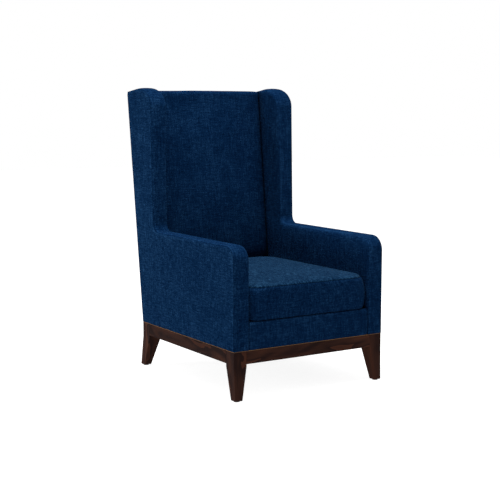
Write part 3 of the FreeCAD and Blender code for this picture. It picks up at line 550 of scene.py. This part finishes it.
def side_set(lr):
    s = -1 if lr == "left" else 1
    seed = 11.0 if lr == "left" else 37.0

    # outer cover, arm and wing in one panel
    loop = rounded(outline(REC, FZ + 0.0006, 0.0008), RADII, 0.0065, True)
    v, f, d, sl = flat_panel(loop, 0.0105)
    verts, cloth = [], []
    # seam distances for the painted shade in the seams and the painted highlight beside them; none along the lower hem
    hem = [0.05 if z - FZ - 0.0006 <= dd + 1e-5 else dd + 0.0016 for (y, z), dd in zip(v, d)]
    for (y, z), dd, ss in zip(v, d, sl):
        puff = 0.0024 * (1 - math.exp(-dd / 0.0021)) + 0.0012 * (1 - math.exp(-dd / 0.022))
        k = sstep(0.0, 0.05, dd)
        puff += swell(y, z, seed) * k + pucker(ss, dd, seed)
        verts.append(world(s * (SEAM_OUT + puff), y, z))
        cloth.append((y * s, z, seed * 0.01))
    ob = make("outer_side_%s" % lr, verts, f, cloth, seam=hem)
    outer = ob

    # boxing strip
    op = outline(REC, FZ + 0.0006, 0.0008)[:6] + [(rear(1.155) - 0.0008, 1.155)]
    path = rounded(op, RADII[:6] + [0], 0.0075)
    nrm = left_normals(path)
    nrm /= np.linalg.norm(nrm, axis=1)[:, None]
    sl = arc_length(path)
    total = sl[-1]
    w = SEAM_OUT - SEAM_IN
    ts = np.concatenate([[0, .0009, .0021, .004, .0068, .011, .017], np.linspace(.0245, w - .0245, 4),
                         w - np.array([.017, .0115, .0075, .0045, .0023, .0009, 0])])
    if nrm[:, 1].sum() < 0:
        nrm = -nrm
    verts, cloth, faces, sd, upward_shade = [], [], [], [], []
    for i, (p, q) in enumerate(zip(path, nrm)):
        for tt in ts:
            dd = min(tt, w - tt)
            # painted shade in the outer seam, and a painted highlight along the roll at the inner edge
            sd.append(min(tt + 0.0016, 0.0079 + max(0.0, w - tt - 0.006)) if tt > w / 2 else tt + 0.0016)
            lam = 0.0024 if tt < w / 2 else 0.0040
            lift = 0.0036 * (1 - math.exp(-dd / lam)) + 0.0020 * math.sin(math.pi * tt / w)
            hem = 1 - math.exp(-max(sl[i], 0) / 0.007)
            tail = 1 - math.exp(-(total - sl[i]) / 0.006)
            lift *= (0.15 + 0.85 * hem) * (0.3 + 0.7 * tail)
            lift += pucker(sl[i], dd, seed + (2 if tt < w / 2 else 4), 0.0004)
            lift += 0.0005 * n3(sl[i] * 11, tt * 20, seed) * sstep(0, .02, dd)
            yy, zz = p + q * lift
            verts.append(world(s * (SEAM_OUT - tt * (1 + thick(p[0], p[1]) / w)), yy, zz))
            cloth.append((tt, sl[i], seed * 0.013 + 3))
            # painted shade where the strip turns upwards, over the arm and wing tops, where the overhead light falls
            upward_shade.append(max(0.13 * sstep(0.2, 0.8, q[1]), 0.30 * sstep(0.10, 0.5, q[1]) * sstep(1.0, 1.10, p[1])))
    n = len(ts)
    for j in range(len(path) - 1):
        for i in range(n - 1):
            a = j * n + i
            faces.append((a, a + 1, a + 1 + n, a + n))
    box = make("side_boxing_%s_cover" % lr, verts, faces, cloth, flip=(s > 0), seam=sd, deep=upward_shade)

    # inside of arm and wing
    zi = 0.2945
    ip = outline(REC, FZ + 0.0006)[:5]
    ip += [(face(1.18) + 0.018, TOP - 0.0143), (face(zi) + 0.012, zi), (0.034, zi), (0.034, FZ + 0.0006)]
    loop = rounded(ip, RADII[:5] + [0, 0, 0, 0], 0.0065, True)
    v, f, d, sl = flat_panel(loop, 0.0105)
    verts, cloth = [], []
    # painted shade: near-black in the tuck beside the back pad, a soft painted shadow spreading forward from it below
    # the arm top, and a little over the lower part
    dp = [max(0.98 * math.exp(-max(0.0, 0.006 - (y - face(z))) / 0.0085),
              0.22 * math.exp(-max(0.0, face(z) - y) / 0.07) * (1 - sstep(0.5, 0.75, z)),
              0.13 * (1 - sstep(0.44, 0.60, z))) for y, z in v]
    for (y, z), dd, ss in zip(v, d, sl):
        k = sstep(0.0, 0.05, dd)
        soft = sstep(0.43, 0.53, z) if y > 0.03 else 1.0
        back = y - face(z)                      # towards the tuck beside the back pad
        away = 1 - sstep(-0.05, 0.005, back)
        full = 0.0038 * soft * (1 - sstep(0.56, 0.63, z)) + 0.0022 * sstep(0.83, 1.0, z)
        puff = 0.0030 * (1 - math.exp(-dd / 0.0038)) + full * away * (1 - math.exp(-dd / 0.013))
        puff += swell(y, z, seed + 9, 0.0009) * k * soft + pucker(ss, dd, seed + 7)
        verts.append(world(s * (SEAM_IN - puff - thick(y, z)), y, z))
        cloth.append((y * s + 0.5, z, seed * 0.017 + 5))
    ins = make("inner_side_%s" % lr, verts, f, cloth, deep=dp)
    return outer, box, ins


def face_out(ob, centre):
    """Turn the faces so that they look away from centre, by the sum over the mesh."""
    me = ob.data
    c = Vector(centre)
    tot = sum((p.center - c).dot(p.normal) * p.area for p in me.polygons)
    if tot < 0:
        me.flip_normals()
    return ob


for lr in ("left", "right"):
    s = -1 if lr == "left" else 1
    outer, box, ins = side_set(lr)
    mid = (s * (HW + IN) / 2, FY + 0.45, 0.6)
    for ob in (outer, ins):
        face_out(ob, mid)
    # the strip looks away from the middle of the slab
    me = box.data
    tot = sum(p.normal.z for p in me.polygons if p.center.z > ARM_Z - 0.02 and p.center.y < FY + 0.5)
    if tot < 0:
        me.flip_normals()
    for ob, cover in ((outer, FAB_OUTSIDE_LIT), (box, FAB), (ins, FAB)):
        ob.data.materials.append(cover)
        thicken(ob, 0.003)
    declare(outer, "chair", ["outer_side_cover_" + lr])
    declare(box, "chair", ["side_boxing_" + lr])
    declare(ins, "chair", ["inner_side_cover_" + lr])

# ------------------------------------------------------------------ inside back
top_z, r_top = 1.1808, 0.021
bp = rounded([(face(0.296), 0.296), (face(top_z), top_z), (rear(1.1750) - 0.0030, 1.1752)],
             [0, r_top, 0], 0.010)
bn = left_normals(bp)
bn /= np.linalg.norm(bn, axis=1)[:, None]
bs = arc_length(bp)
bw = IN + 0.0034
side = [0, .0010, .0024, .0042, .0068, .0105, .016, .024, .034]
us = np.concatenate([-bw + np.array(side), np.linspace(-bw + .047, bw - .047, 48), bw - np.array(side[::-1])])


def back_pt(u, j):
    y, z = bp[j]
    d = bw - abs(u)
    e = bs[-1] - bs[j]
    roll = 0.0190 * (1 - 0.62 * math.exp(-d / 0.0036) - 0.38 * math.exp(-d / 0.0130)) - 0.0165
    free = sstep(0.44, 0.60, z)
    belly = 0.0055 * (1 - (u / bw) ** 2) * free * (1 - sstep(0.95, 1.19, z) * 0.7)
    if e < 0.10:                                 # over the top edge the pad is firm
        roll = roll * sstep(0.0, 0.09, e) + (-0.001) * (1 - sstep(0.0, 0.09, e))
    h = roll + belly
    h += (swell(u, z, 71.0, 0.0011) * free + pucker(bs[j], d, 73.0, 0.0006)) * sstep(0, 0.02, e)
    p = bp[j] + bn[j] * h
    return world(u, p[0], p[1])


# painted shade: dark in the side tucks fading softly inward, dark along the cushion line, a little over the lower part,
# and a band over the top edge where the overhead light falls
back = grid("inside_back", us, list(range(len(bp))), back_pt, lambda u, j: (u, bs[j], 7.3),
            dp=lambda u, j: min(1.0, math.exp(-(bw - abs(u)) / 0.0078) + 0.10 * math.exp(-(bw - abs(u)) / 0.05) + 0.80 * math.exp(-max(0.0, bp[j][1] - 0.452) / 0.034) + 0.10 * (1 - sstep(0.5, 0.8, bp[j][1]))) * (1 - sstep(-0.07, 0.0, bs[j] - bs[-1])) + 0.22 * sstep(-0.10, -0.055, bs[j] - bs[-1]))
tot = sum(p.normal.y * p.area for p in back.data.polygons)
if tot > 0:
    back.data.flip_normals()
back.data.materials.append(FAB)
thicken(back, 0.003)
declare(back, "chair", ["inside_back_cover"])

# the pad behind it follows the cover, and is drawn in at the tucks
pu = np.linspace(-bw + .016, bw - .016, 40)
pj = [j for j in range(len(bp)) if bs[j] > 0.006 and bs[-1] - bs[j] > 0.05]


def pad_ring(u):
    front = [back_pt(u, j) for j in pj]
    ring = []
    for j, (x, y, z) in zip(pj, front):
        ring.append((x, y - bn[j][0] * 0.0055, z - bn[j][1] * 0.0055))
    for j in pj[::-1]:
        z = min(bp[j][1], 1.158)
        ring.append(world(u, face(z) + 0.040, z - 0.002))
    return ring


rings = [pad_ring(u) for u in pu]
nr = len(rings[0])
verts = [q for r_ in rings for q in r_]
faces = []
for a in range(len(rings) - 1):
    for b in range(nr):
        c = (b + 1) % nr
        faces.append((a * nr + b, a * nr + c, (a + 1) * nr + c, (a + 1) * nr + b))
half = nr // 2
for base, rev in ((0, False), ((len(rings) - 1) * nr, True)):
    for b in range(half - 1):
        q = (base + b, base + b + 1, base + nr - 2 - b, base + nr - 1 - b)
        faces.append(q[::-1] if not rev else q)
pad = make("back_pad", verts, faces, [(q[0], q[2], 2.2) for q in verts])


def outward(ob):
    """Make the faces of a closed mesh look outwards."""
    import bmesh
    bm = bmesh.new()
    bm.from_mesh(ob.data)
    bmesh.ops.recalc_face_normals(bm, faces=bm.faces)
    bm.to_mesh(ob.data)
    bm.free()


outward(pad)

# ------------------------------------------------------------------ outside back
us = np.concatenate([-SEAM_OUT + np.array(side), np.linspace(-SEAM_OUT + .05, SEAM_OUT - .05, 40),
                     SEAM_OUT - np.array(side[::-1])])
zb, zt = FZ + 0.0006, 1.1752
vs = np.concatenate([zb + np.array(side), np.linspace(zb + .05, zt - .05, 56), zt - np.array(side[::-1])])


def out_back(u, z):
    d = min(SEAM_OUT - abs(u), z - zb, zt - z)
    puff = 0.0036 * (1 - math.exp(-d / 0.008)) + swell(u, z, 91.0) * sstep(0, .05, d)
    puff += pucker(z if SEAM_OUT - abs(u) < min(z - zb, zt - z) else u, d, 93.0)
    # the top corners follow the rounded rear end of each wing
    drop = 0.0
    if abs(u) > IN:
        drop = -0.0018 * sstep(zt - 0.02, zt, z)
    return world(u, rear(z) - 0.002 + puff + drop, z)


# seam distances for the painted shade in the side and top seams and the painted highlight beside them
ob = grid("outside_back", us, vs, out_back, lambda u, z: (u, z, 9.1), sm=lambda u, z: min(SEAM_OUT - abs(u), zt - z) + 0.0014)
tot = sum(p.normal.y * p.area for p in ob.data.polygons)
if tot < 0:
    ob.data.flip_normals()
ob.data.materials.append(FAB)
thicken(ob, 0.003)
declare(ob, "chair", ["outside_back_cover"])

# ------------------------------------------------------------------ front border
bw2 = SEAM_IN - 0.0004
loop = rounded([(-bw2, FZ + 0.0006), (-bw2, BORDER_Z), (bw2, BORDER_Z), (bw2, FZ + 0.0006)],
               [0, 0.017, 0.017, 0], 0.006, True)
v, f, d, sl = flat_panel(loop, 0.0105)
verts, cloth = [], []
for (x, z), dd, ss in zip(v, d, sl):
    hem = z - FZ
    deep = 0.0095 if hem > 0.004 else 0.003
    puff = deep * (1 - math.exp(-dd / 0.0040)) - deep + 0.0004
    if hem < 0.02:
        dl = bw2 - abs(x)
        puff = -0.003 * math.exp(-hem / 0.006) - 0.0095 * math.exp(-dl / 0.0040) * (1 if hem > 0.0005 else 0.6)
    puff += swell(x, z, 51.0, 0.0008) * sstep(0, .04, dd) + pucker(ss, dd, 53.0, 0.0004)
    verts.append(world(x, -puff, z))
    cloth.append((x, z, 11.7))
# seam distances for the painted shade in the seams and the painted highlight beside them; none along the lower hem
ob = make("front_border", verts, f, cloth,
          seam=[0.05 if z - FZ - 0.0006 <= dd + 1e-5 else dd + 0.0006 for (x, z), dd in zip(v, d)])
tot = sum(p.normal.y * p.area for p in ob.data.polygons)
if tot > 0:
    ob.data.flip_normals()
ob.data.materials.append(FAB)
thicken(ob, 0.004)
# its upper edge turns back over the pad, under the cushion
def lip_pt(u, t):
    e = max(0.0, abs(u) - (bw2 - 0.017)) / 0.017
    drop = 0.017 * (1 - math.sqrt(max(0.0, 1 - min(e, 1.0) ** 2)))
    z = BORDER_Z - 0.0006 - 0.0014 * (1 - t) ** 2 + 0.0003 * n3(u * 30, t * 3, 2) - drop
    return world(u, 0.0072 + 0.0373 * t, z)


lu = np.concatenate([-bw2 + np.array([.0006, .0016, .0034, .006, .0095, .0135, .018]), np.linspace(-bw2 + .026, bw2 - .026, 50),
                     bw2 - np.array([.018, .0135, .0095, .006, .0034, .0016, .0006])])
lipf = grid("front_border_lip", lu, np.linspace(0, 1, 9), lip_pt, lambda u, v_: (u, 0.303 + 0.036 * v_, 11.7))
tot = sum(p.normal.z * p.area for p in lipf.data.polygons)
if tot < 0:
    lipf.data.flip_normals()
lipf.data.materials.append(FAB)
thicken(lipf, 0.002)
declare(ob, "chair", ["front_border_cover"])
declare(lipf, "chair", ["front_border_cover"])

# the pad behind the border
pl = rounded([(-bw2 + .010, FZ + .006), (-bw2 + .010, BORDER_Z - .006), (bw2 - .010, BORDER_Z - .006), (bw2 - .010, FZ + .006)],
             [.004, .014, .014, .004], 0.010, True)
verts, faces = [], []
npl = len(pl)
mx, mz = 0.0, (FZ + BORDER_Z) / 2
for dy, kx in ((0.0075, 0.97), (0.0085, 0.985), (0.012, 1.0), (0.024, 1.0), (0.027, 0.985)):
    for x, z in pl:
        verts.append(world(x * kx, dy, mz + (z - mz) * (0.9 + 0.1 * (kx - 0.97) / 0.03)))
for a in range(4):
    for b in range(npl):
        c = (b + 1) % npl
        faces.append((a * npl + b, a * npl + c, (a + 1) * npl + c, (a + 1) * npl + b))
faces.append(tuple(range(npl)))
faces.append(tuple(range(4 * npl, 5 * npl))[::-1])
bpad = make("border_pad", verts, faces, [(q[0], q[2], 4.2) for q in verts])
outward(bpad)

# ------------------------------------------------------------------ seat cushion
cx = CUSH_HI.x - 0.0006
cy0, cy1 = CUSH_LO.y - FY + 0.0002, CUSH_HI.y - FY - 0.0002
zb = CUSH_LO.z + 0.0008


def plan_loop(r, inset=0.0):
    """Rounded plan outline with the same number of points whatever the radius."""
    x1, y0_, y1_ = cx - inset, cy0 + inset, cy1 - inset * 0.3
    pts = []
    m = 9
    for (ax, ay, t0) in ((x1 - r, y0_ + r, -90), (x1 - r, y1_ - r, 0), (-x1 + r, y1_ - r, 90), (-x1 + r, y0_ + r, 180)):
        arc = [(ax + r * math.cos(math.radians(t0 + 90 * k / m)), ay + r * math.sin(math.radians(t0 + 90 * k / m)))
               for k in range(m + 1)]
        if pts:
            n_ = 66 if t0 in (0, 180) else 52
            p0, q0 = pts[-1], arc[0]
            pts += [(p0[0] + (q0[0] - p0[0]) * k / n_, p0[1] + (q0[1] - p0[1]) * k / n_) for k in range(1, n_)]
        pts += arc
    p0, q0 = pts[-1], pts[0]
    pts += [(p0[0] + (q0[0] - p0[0]) * k / 52, p0[1] + (q0[1] - p0[1]) * k / 52) for k in range(1, 52)]
    return np.array(pts)


R_TOP, R_MID, R_BOT = 0.074, 0.036, 0.050
cloop = plan_loop(R_TOP, 0.0012)
bloop = plan_loop(R_BOT, 0.0020)
tv, tf, td, ts_ = flat_panel(cloop, 0.0120, (0.0022, 0.0048, 0.0085, 0.0135))
bv, bf, bd, _ = flat_panel(bloop, 0.020, (0.003, 0.008, 0.016))
L = len(cloop)
assert np.allclose(tv[:L], cloop, atol=1e-5) and np.allclose(bv[:L], bloop, atol=1e-5)
cs = arc_length(np.vstack([cloop, cloop[:1]]))
zs = np.array([0, .002, .0045, .008, .014, .024, .037, .052, .068, .084, .097, .107, .1133, .1168, .1193, .1215])
zs = zs / zs[-1] * (SEAM_Z - zb)
verts = [(x, y, SEAM_Z) for x, y in tv]
region = []
faces = []
area = 0.5 * np.sum(cloop[:, 0] * np.roll(cloop[:, 1], -1) - np.roll(cloop[:, 0], -1) * cloop[:, 1])


def orient(fs, pts, up):
    out = []
    for t in fs:
        a, b, c = (pts[i] for i in t[:3])
        cr = (b[0] - a[0]) * (c[1] - a[1]) - (b[1] - a[1]) * (c[0] - a[0])
        out.append(tuple(t) if (cr > 0) == up else tuple(t)[::-1])
    return out


for t in orient(tf, tv, True):
    faces.append(t)
    region.append(0)
row_idx = []
for k in range(len(zs) - 2, 0, -1):
    row_idx.append(range(len(verts), len(verts) + L))
    t = zs[k] / zs[-1]
    r_here = R_MID + ((R_TOP if t > 0.5 else R_BOT) - R_MID) * abs(2 * t - 1) ** 2.2
    verts += [(x, y, zb + zs[k]) for x, y in plan_loop(r_here, 0.0012 * abs(2 * t - 1) ** 3)]
b0 = len(verts)
verts += [(x, y, zb) for x, y in bv]
for t in orient(bf, bv, False):
    faces.append(tuple(i + b0 for i in t))
    region.append(2)
rows = [range(0, L)] + row_idx + [range(b0, b0 + L)]
for a, b in zip(rows[:-1], rows[1:]):
    for i in range(L):
        j = (i + 1) % L
        q = (a[i], b[i], b[j], a[j])
        faces.append(q if area > 0 else q[::-1])
        region.append(1)
V = np.array(verts)
region = np.array(region)
seam_top = set(range(L))
seam_bot = set(range(b0, b0 + L))


def inflate(V, faces, pins, pressure, frames=20, stiff=14.0):
    """Cloth under inner pressure with the seams held; returns the settled points."""
    me = bpy.data.meshes.new("sim")
    me.from_pydata([tuple(map(float, v)) for v in V], [], faces)
    me.update()
    ob = bpy.data.objects.new("sim", me)
    scene.collection.objects.link(ob)
    g = ob.vertex_groups.new(name="pin")
    for w, idx in pins:
        g.add(list(idx), w, "REPLACE")
    m = ob.modifiers.new("cloth", "CLOTH")
    st = m.settings
    st.quality = 6
    st.mass = 0.25
    st.tension_stiffness = stiff
    st.compression_stiffness = stiff
    st.shear_stiffness = stiff * 0.5
    st.bending_stiffness = 0.4
    st.use_pressure = True
    st.uniform_pressure_force = pressure
    st.vertex_group_mass = "pin"
    st.effector_weights.gravity = 0.0
    m.collision_settings.use_collision = False
    m.point_cache.frame_start, m.point_cache.frame_end = 1, frames + 1
    for fr in range(1, frames + 1):
        scene.frame_set(fr)
    dg = bpy.context.evaluated_depsgraph_get()
    ev = ob.evaluated_get(dg)
    out = np.array([v.co[:] for v in ev.to_mesh().vertices])
    ev.to_mesh_clear()
    scene.frame_set(1)
    bpy.data.objects.remove(ob)
    bpy.data.meshes.remove(me)
    return out


P = inflate(V, faces, [(1.0, seam_top | seam_bot)], 5.0, 20, 16.0)
    # stand-in for the bulge of the boxing
disp = P - V
# caps, region by region: a soft limit to how far the cloth may move
mag = np.linalg.norm(disp, axis=1)
isTop = np.zeros(len(V), bool)
isTop[:len(tv)] = True
isBot = np.zeros(len(V), bool)
isBot[b0:] = True
cap = np.where(isTop, 0.0245, np.where(isBot, 0.0004, 0.0075))
disp = disp * (np.tanh(mag / cap) * cap / np.maximum(mag, 1e-9))[:, None]
C = V + disp
cloth = np.zeros((len(V), 3))
plan_n = left_normals(cloop, True) * (-1 if area > 0 else 1)
plan_n /= np.linalg.norm(plan_n, axis=1)[:, None]
for i in range(len(V)):
    x, y, z = C[i]
    if i < len(tv):
        d = td[i]
        C[i][2] += swell(x, y, 21.0, 0.0016) * sstep(0, .07, d)
        C[i][2] += pucker(ts_[i], d, 23.0, 0.0006)
        # a little more loft, rising from the seams inwards
        C[i][2] += 0.0015 * sstep(0, .1, d) + 0.0085 * (1 - math.exp(-d / 0.0062))
        cloth[i] = (x, y, 13.9)
    elif i < b0:
        k = (i - len(tv)) % L
        d = min(z - zb, SEAM_Z - z)
        nx, ny = (C[i] - [0, (cy0 + cy1) / 2, 0])[:2]
        swl = 0.0026 * (1 - math.exp(-max(d, 0) / 0.0045)) + pucker(cs[k], max(d, 0), 27.0, 0.0007)
        swl += 0.0010 * n3(cs[k] * 8, z * 16, 4.4) * sstep(0, .02, d)
        C[i][0] += plan_n[k][0] * swl
        C[i][1] += plan_n[k][1] * swl
        cloth[i] = (cs[k], z, 15.1)
    else:
        cloth[i] = (x, y, 16.3)
# seam distances for the painted shade in the seams and the painted highlight beside them
seam_d = np.full(len(V), 0.05)
seam_d[:len(tv)] = td
for i in range(len(tv), b0):
    seam_d[i] = SEAM_Z - V[i][2]
seam_d += 0.0006
# the arms hold the sides in and the back pad holds the rear
C[:, 0] = np.clip(C[:, 0], -cx - 0.0006, cx + 0.0006)
C[:, 1] = np.minimum(C[:, 1], cy1)
C[:, 2] = np.maximum(C[:, 2], CUSH_LO.z + 0.0004)
C[:, 1] += FY
for i in range(L):
    cloth[i] = (V[i][0], V[i][1], 13.9)


def part_of(name, reg, node, own_cloth=None):
    fs = [faces[i] for i in np.where(region == reg)[0]]
    used = sorted({i for f_ in fs for i in f_})
    new = {o: n for n, o in enumerate(used)}
    cl = cloth[used].copy()
    if reg == 1:
        for n_, o in enumerate(used):
            if o < L:
                cl[n_] = (cs[o], SEAM_Z, 15.1)
            elif o >= b0:
                cl[n_] = (cs[o - b0], zb, 15.1)
    ob = make(name, C[used], [tuple(new[i] for i in f_) for f_ in fs], cl, seam=seam_d[used])
    ob.data.materials.append(FAB_TOP_LIT if reg == 0 else FAB)
    thicken(ob, 0.0022)
    declare(ob, "seat_cushion", [node])
    return ob


mid = np.array([0.0, FY + (cy0 + cy1) / 2, (zb + SEAM_Z) / 2])
core = make("cushion_foam", mid + (C - mid) * np.array([0.962, 0.968, 0.90]), faces, C)
outward(core)
part_of("cushion_top", 0, "cushion_top_panel")
part_of("cushion_band", 1, "cushion_boxing")
part_of("cushion_bottom", 2, "cushion_bottom_panel")

# ------------------------------------------------------------------ cloths that line the seat
LINING = plain("lining_cloth", (0.006, 0.008, 0.014), (0.014, 0.018, 0.028), 900.0, 0.95, bump=0.4)
lo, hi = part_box("deck_cloth")
nx_, ny_ = 40, 46
ob = grid("deck_lining", np.linspace(lo.x, hi.x, nx_), np.linspace(lo.y, hi.y, ny_),
          lambda x, y: (x, y, hi.z - 0.0012 * (1 - (x / hi.x) ** 2) + 0.0006 * n3(x * 14, y * 14, 5)),
          lambda x, y: (x, y, 17.7))
if sum(p.normal.z for p in ob.data.polygons) < 0:
    ob.data.flip_normals()
ob.data.materials.append(LINING)
thicken(ob, 0.0015)
declare(ob, "chair", ["deck_cloth"])

lo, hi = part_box("dust_cover")
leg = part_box("leg_front_left")
nk = leg[1].x - lo.x + 0.0008


def dust_xy():
    xs = np.concatenate([[lo.x], np.linspace(lo.x + nk, hi.x - nk, 34), [hi.x]])
    ys = np.concatenate([[lo.y], np.linspace(lo.y + nk, hi.y - nk, 36), [hi.y]])
    return xs, ys


xs, ys = dust_xy()
verts, cloth, faces = [], [], []
for y in ys:
    for x in xs:
        e = min(x - lo.x, hi.x - x, y - lo.y, hi.y - y)
        sag = 0.0045 * sstep(0, 0.25, e) + 0.0009 * n3(x * 12, y * 12, 8) * sstep(0, .05, e)
        verts.append((x, y, hi.z - 0.0004 - sag))
        cloth.append((x, y, 19.3))
nx_, ny_ = len(xs), len(ys)
for j in range(ny_ - 1):
    for i in range(nx_ - 1):
        if i in (0, nx_ - 2) and j in (0, ny_ - 2):
            continue
        a = j * nx_ + i
        faces.append((a, a + nx_, a + nx_ + 1, a + 1))
ob = make("dust_lining", verts, faces, cloth)
if sum(p.normal.z for p in ob.data.polygons) > 0:
    ob.data.flip_normals()
ob.data.materials.append(LINING)
thicken(ob, 0.0010)
declare(ob, "chair", ["dust_cover"])

# ------------------------------------------------------------------ carried-over CAD nodes
WOODX = wood("walnut_x", "X", 3.1)
WOODY = wood("walnut_y", "Y", 8.3, 0.72)
LEGW = [wood("walnut_leg_%d" % k, "Z", 12.7 + 5.3 * k, 0.98) for k in range(4)]
PINE = plain("frame_timber", (0.38, 0.24, 0.12), (0.56, 0.39, 0.21), 30.0, 0.75, stretch=(1, 1, 6))
BOARD = plain("hardboard", (0.16, 0.09, 0.045), (0.22, 0.13, 0.07), 200.0, 0.8)
JUTE = plain("webbing", (0.26, 0.19, 0.10), (0.40, 0.31, 0.18), 500.0, 0.95, bump=0.5)
FOAM = plain("foam", (0.72, 0.66, 0.48), (0.84, 0.80, 0.63), 700.0, 0.95, bump=0.5)
SPRING = plain("spring_steel", (0.16, 0.16, 0.17), (0.26, 0.26, 0.27), 120.0, 0.42, metallic=1.0)
ZINC = plain("zinc_steel", (0.50, 0.50, 0.48), (0.64, 0.64, 0.62), 160.0, 0.35, metallic=1.0)
GLIDE = plain("glide_plastic", (0.018, 0.018, 0.018), (0.035, 0.035, 0.035), 300.0, 0.6)
TAPE = plain("zip_tape", (0.003, 0.010, 0.030), (0.008, 0.020, 0.050), 900.0, 0.85, bump=0.5)
ZIPM = plain("zip_metal", (0.010, 0.020, 0.045), (0.020, 0.035, 0.070), 400.0, 0.35, metallic=0.3)


for ob, body, node in ((pad, "chair", "back_foam"), (bpad, "chair", "front_border_pad"),
                       (core, "seat_cushion", "cushion_core")):
    ob.data.materials.append(FOAM)
    declare(ob, body, [node])


def dress(name, mat):
    ob = frame["nodes"][name]
    ob.data.materials.clear()
    ob.data.materials.append(mat)


legs = ["leg_front_left", "leg_front_right", "leg_rear_left", "leg_rear_right"]
shown = {}
for k, n_ in enumerate(legs):
    shown[n_] = LEGW[k]
shown.update({"base_rail_front": WOODX, "base_rail_back": WOODX, "base_rail_left": WOODY,
              "base_rail_right": WOODY, "foot_glides": GLIDE, "leg_bolts": ZINC,
              "seat_springs": SPRING, "spring_clips": SPRING, "spring_tie_wires": SPRING,
              "deck_burlap": JUTE, "back_webbing_across": JUTE, "back_webbing_upright": JUTE,
              "side_board_left": BOARD, "side_board_right": BOARD, "deck_pad": FOAM,
              "side_foam_left": FOAM, "side_foam_right": FOAM, "cushion_zip_tape": TAPE,
              "cushion_zip_slider": ZIPM})
replaced = {"outer_side_cover_left", "outer_side_cover_right", "side_boxing_left",
            "side_boxing_right", "inner_side_cover_left", "inner_side_cover_right",
            "inside_back_cover", "outside_back_cover", "front_border_cover", "cushion_top_panel",
            "cushion_boxing", "cushion_bottom_panel", "deck_cloth", "dust_cover", "back_foam",
            "front_border_pad", "cushion_core"}
for n_ in frame["nodes"]:
    if n_ in replaced:
        continue
    dress(n_, shown.get(n_, PINE))

# ------------------------------------------------------------------ stage, light, camera
me = bpy.data.meshes.new("floor")
R = 14.0
me.from_pydata([(-R, -R, 0), (R, -R, 0), (R, R, 0), (-R, R, 0)], [], [(0, 1, 2, 3)])
floor = bpy.data.objects.new("floor", me)
scene.collection.objects.link(floor)
fm, ft, fp = nt_of("floor_paint")
fp.inputs["Base Color"].default_value = (0.25, 0.25, 0.25, 1)
fp.inputs["Emission Color"].default_value = (1, 1, 1, 1)
fp.inputs["Emission Strength"].default_value = 0.86
fp.inputs["Roughness"].default_value = 0.9
fp.inputs["Specular IOR Level"].default_value = 0.1
me.materials.append(fm)

w = bpy.data.worlds.new("studio")
scene.world = w
w.use_nodes = True
w.node_tree.nodes["Background"].inputs[0].default_value = (1, 1, 1, 1)
w.node_tree.nodes["Background"].inputs[1].default_value = 1.0


def area(name, loc, aim, size, power, color=(1, 1, 1)):
    li = bpy.data.lights.new(name, "AREA")
    li.shape = "DISK"
    li.size = size
    li.energy = power
    li.color = color
    ob = bpy.data.objects.new(name, li)
    scene.collection.objects.link(ob)
    ob.location = loc
    ob.rotation_euler = (Vector(aim) - Vector(loc)).to_track_quat("-Z", "Y").to_euler()
    return ob


area("overhead", (-0.3, -0.1, 4.3), (0, 0, 0.5), 2.6, 480)
area("side", (-4.1, 1.6, 0.95), (-0.3, 0.05, 0.45), 2.0, 178)

cam = bpy.data.cameras.new("camera")
cam.lens = 1161.6 / 500 * 36
cam.sensor_width = 36
cam.clip_end = 100
co = bpy.data.objects.new("camera", cam)
scene.collection.objects.link(co)
co.location = (-2.6049, -3.6563 + FY, 1.1337)
co.rotation_euler = (math.radians(90 - 7.2895), 0, math.radians(-32.4255))
scene.camera = co
scene.view_settings.view_transform = "Standard"
scene.view_settings.look = "None"
scene.view_settings.exposure = 0.0
scene.view_settings.gamma = 1.0
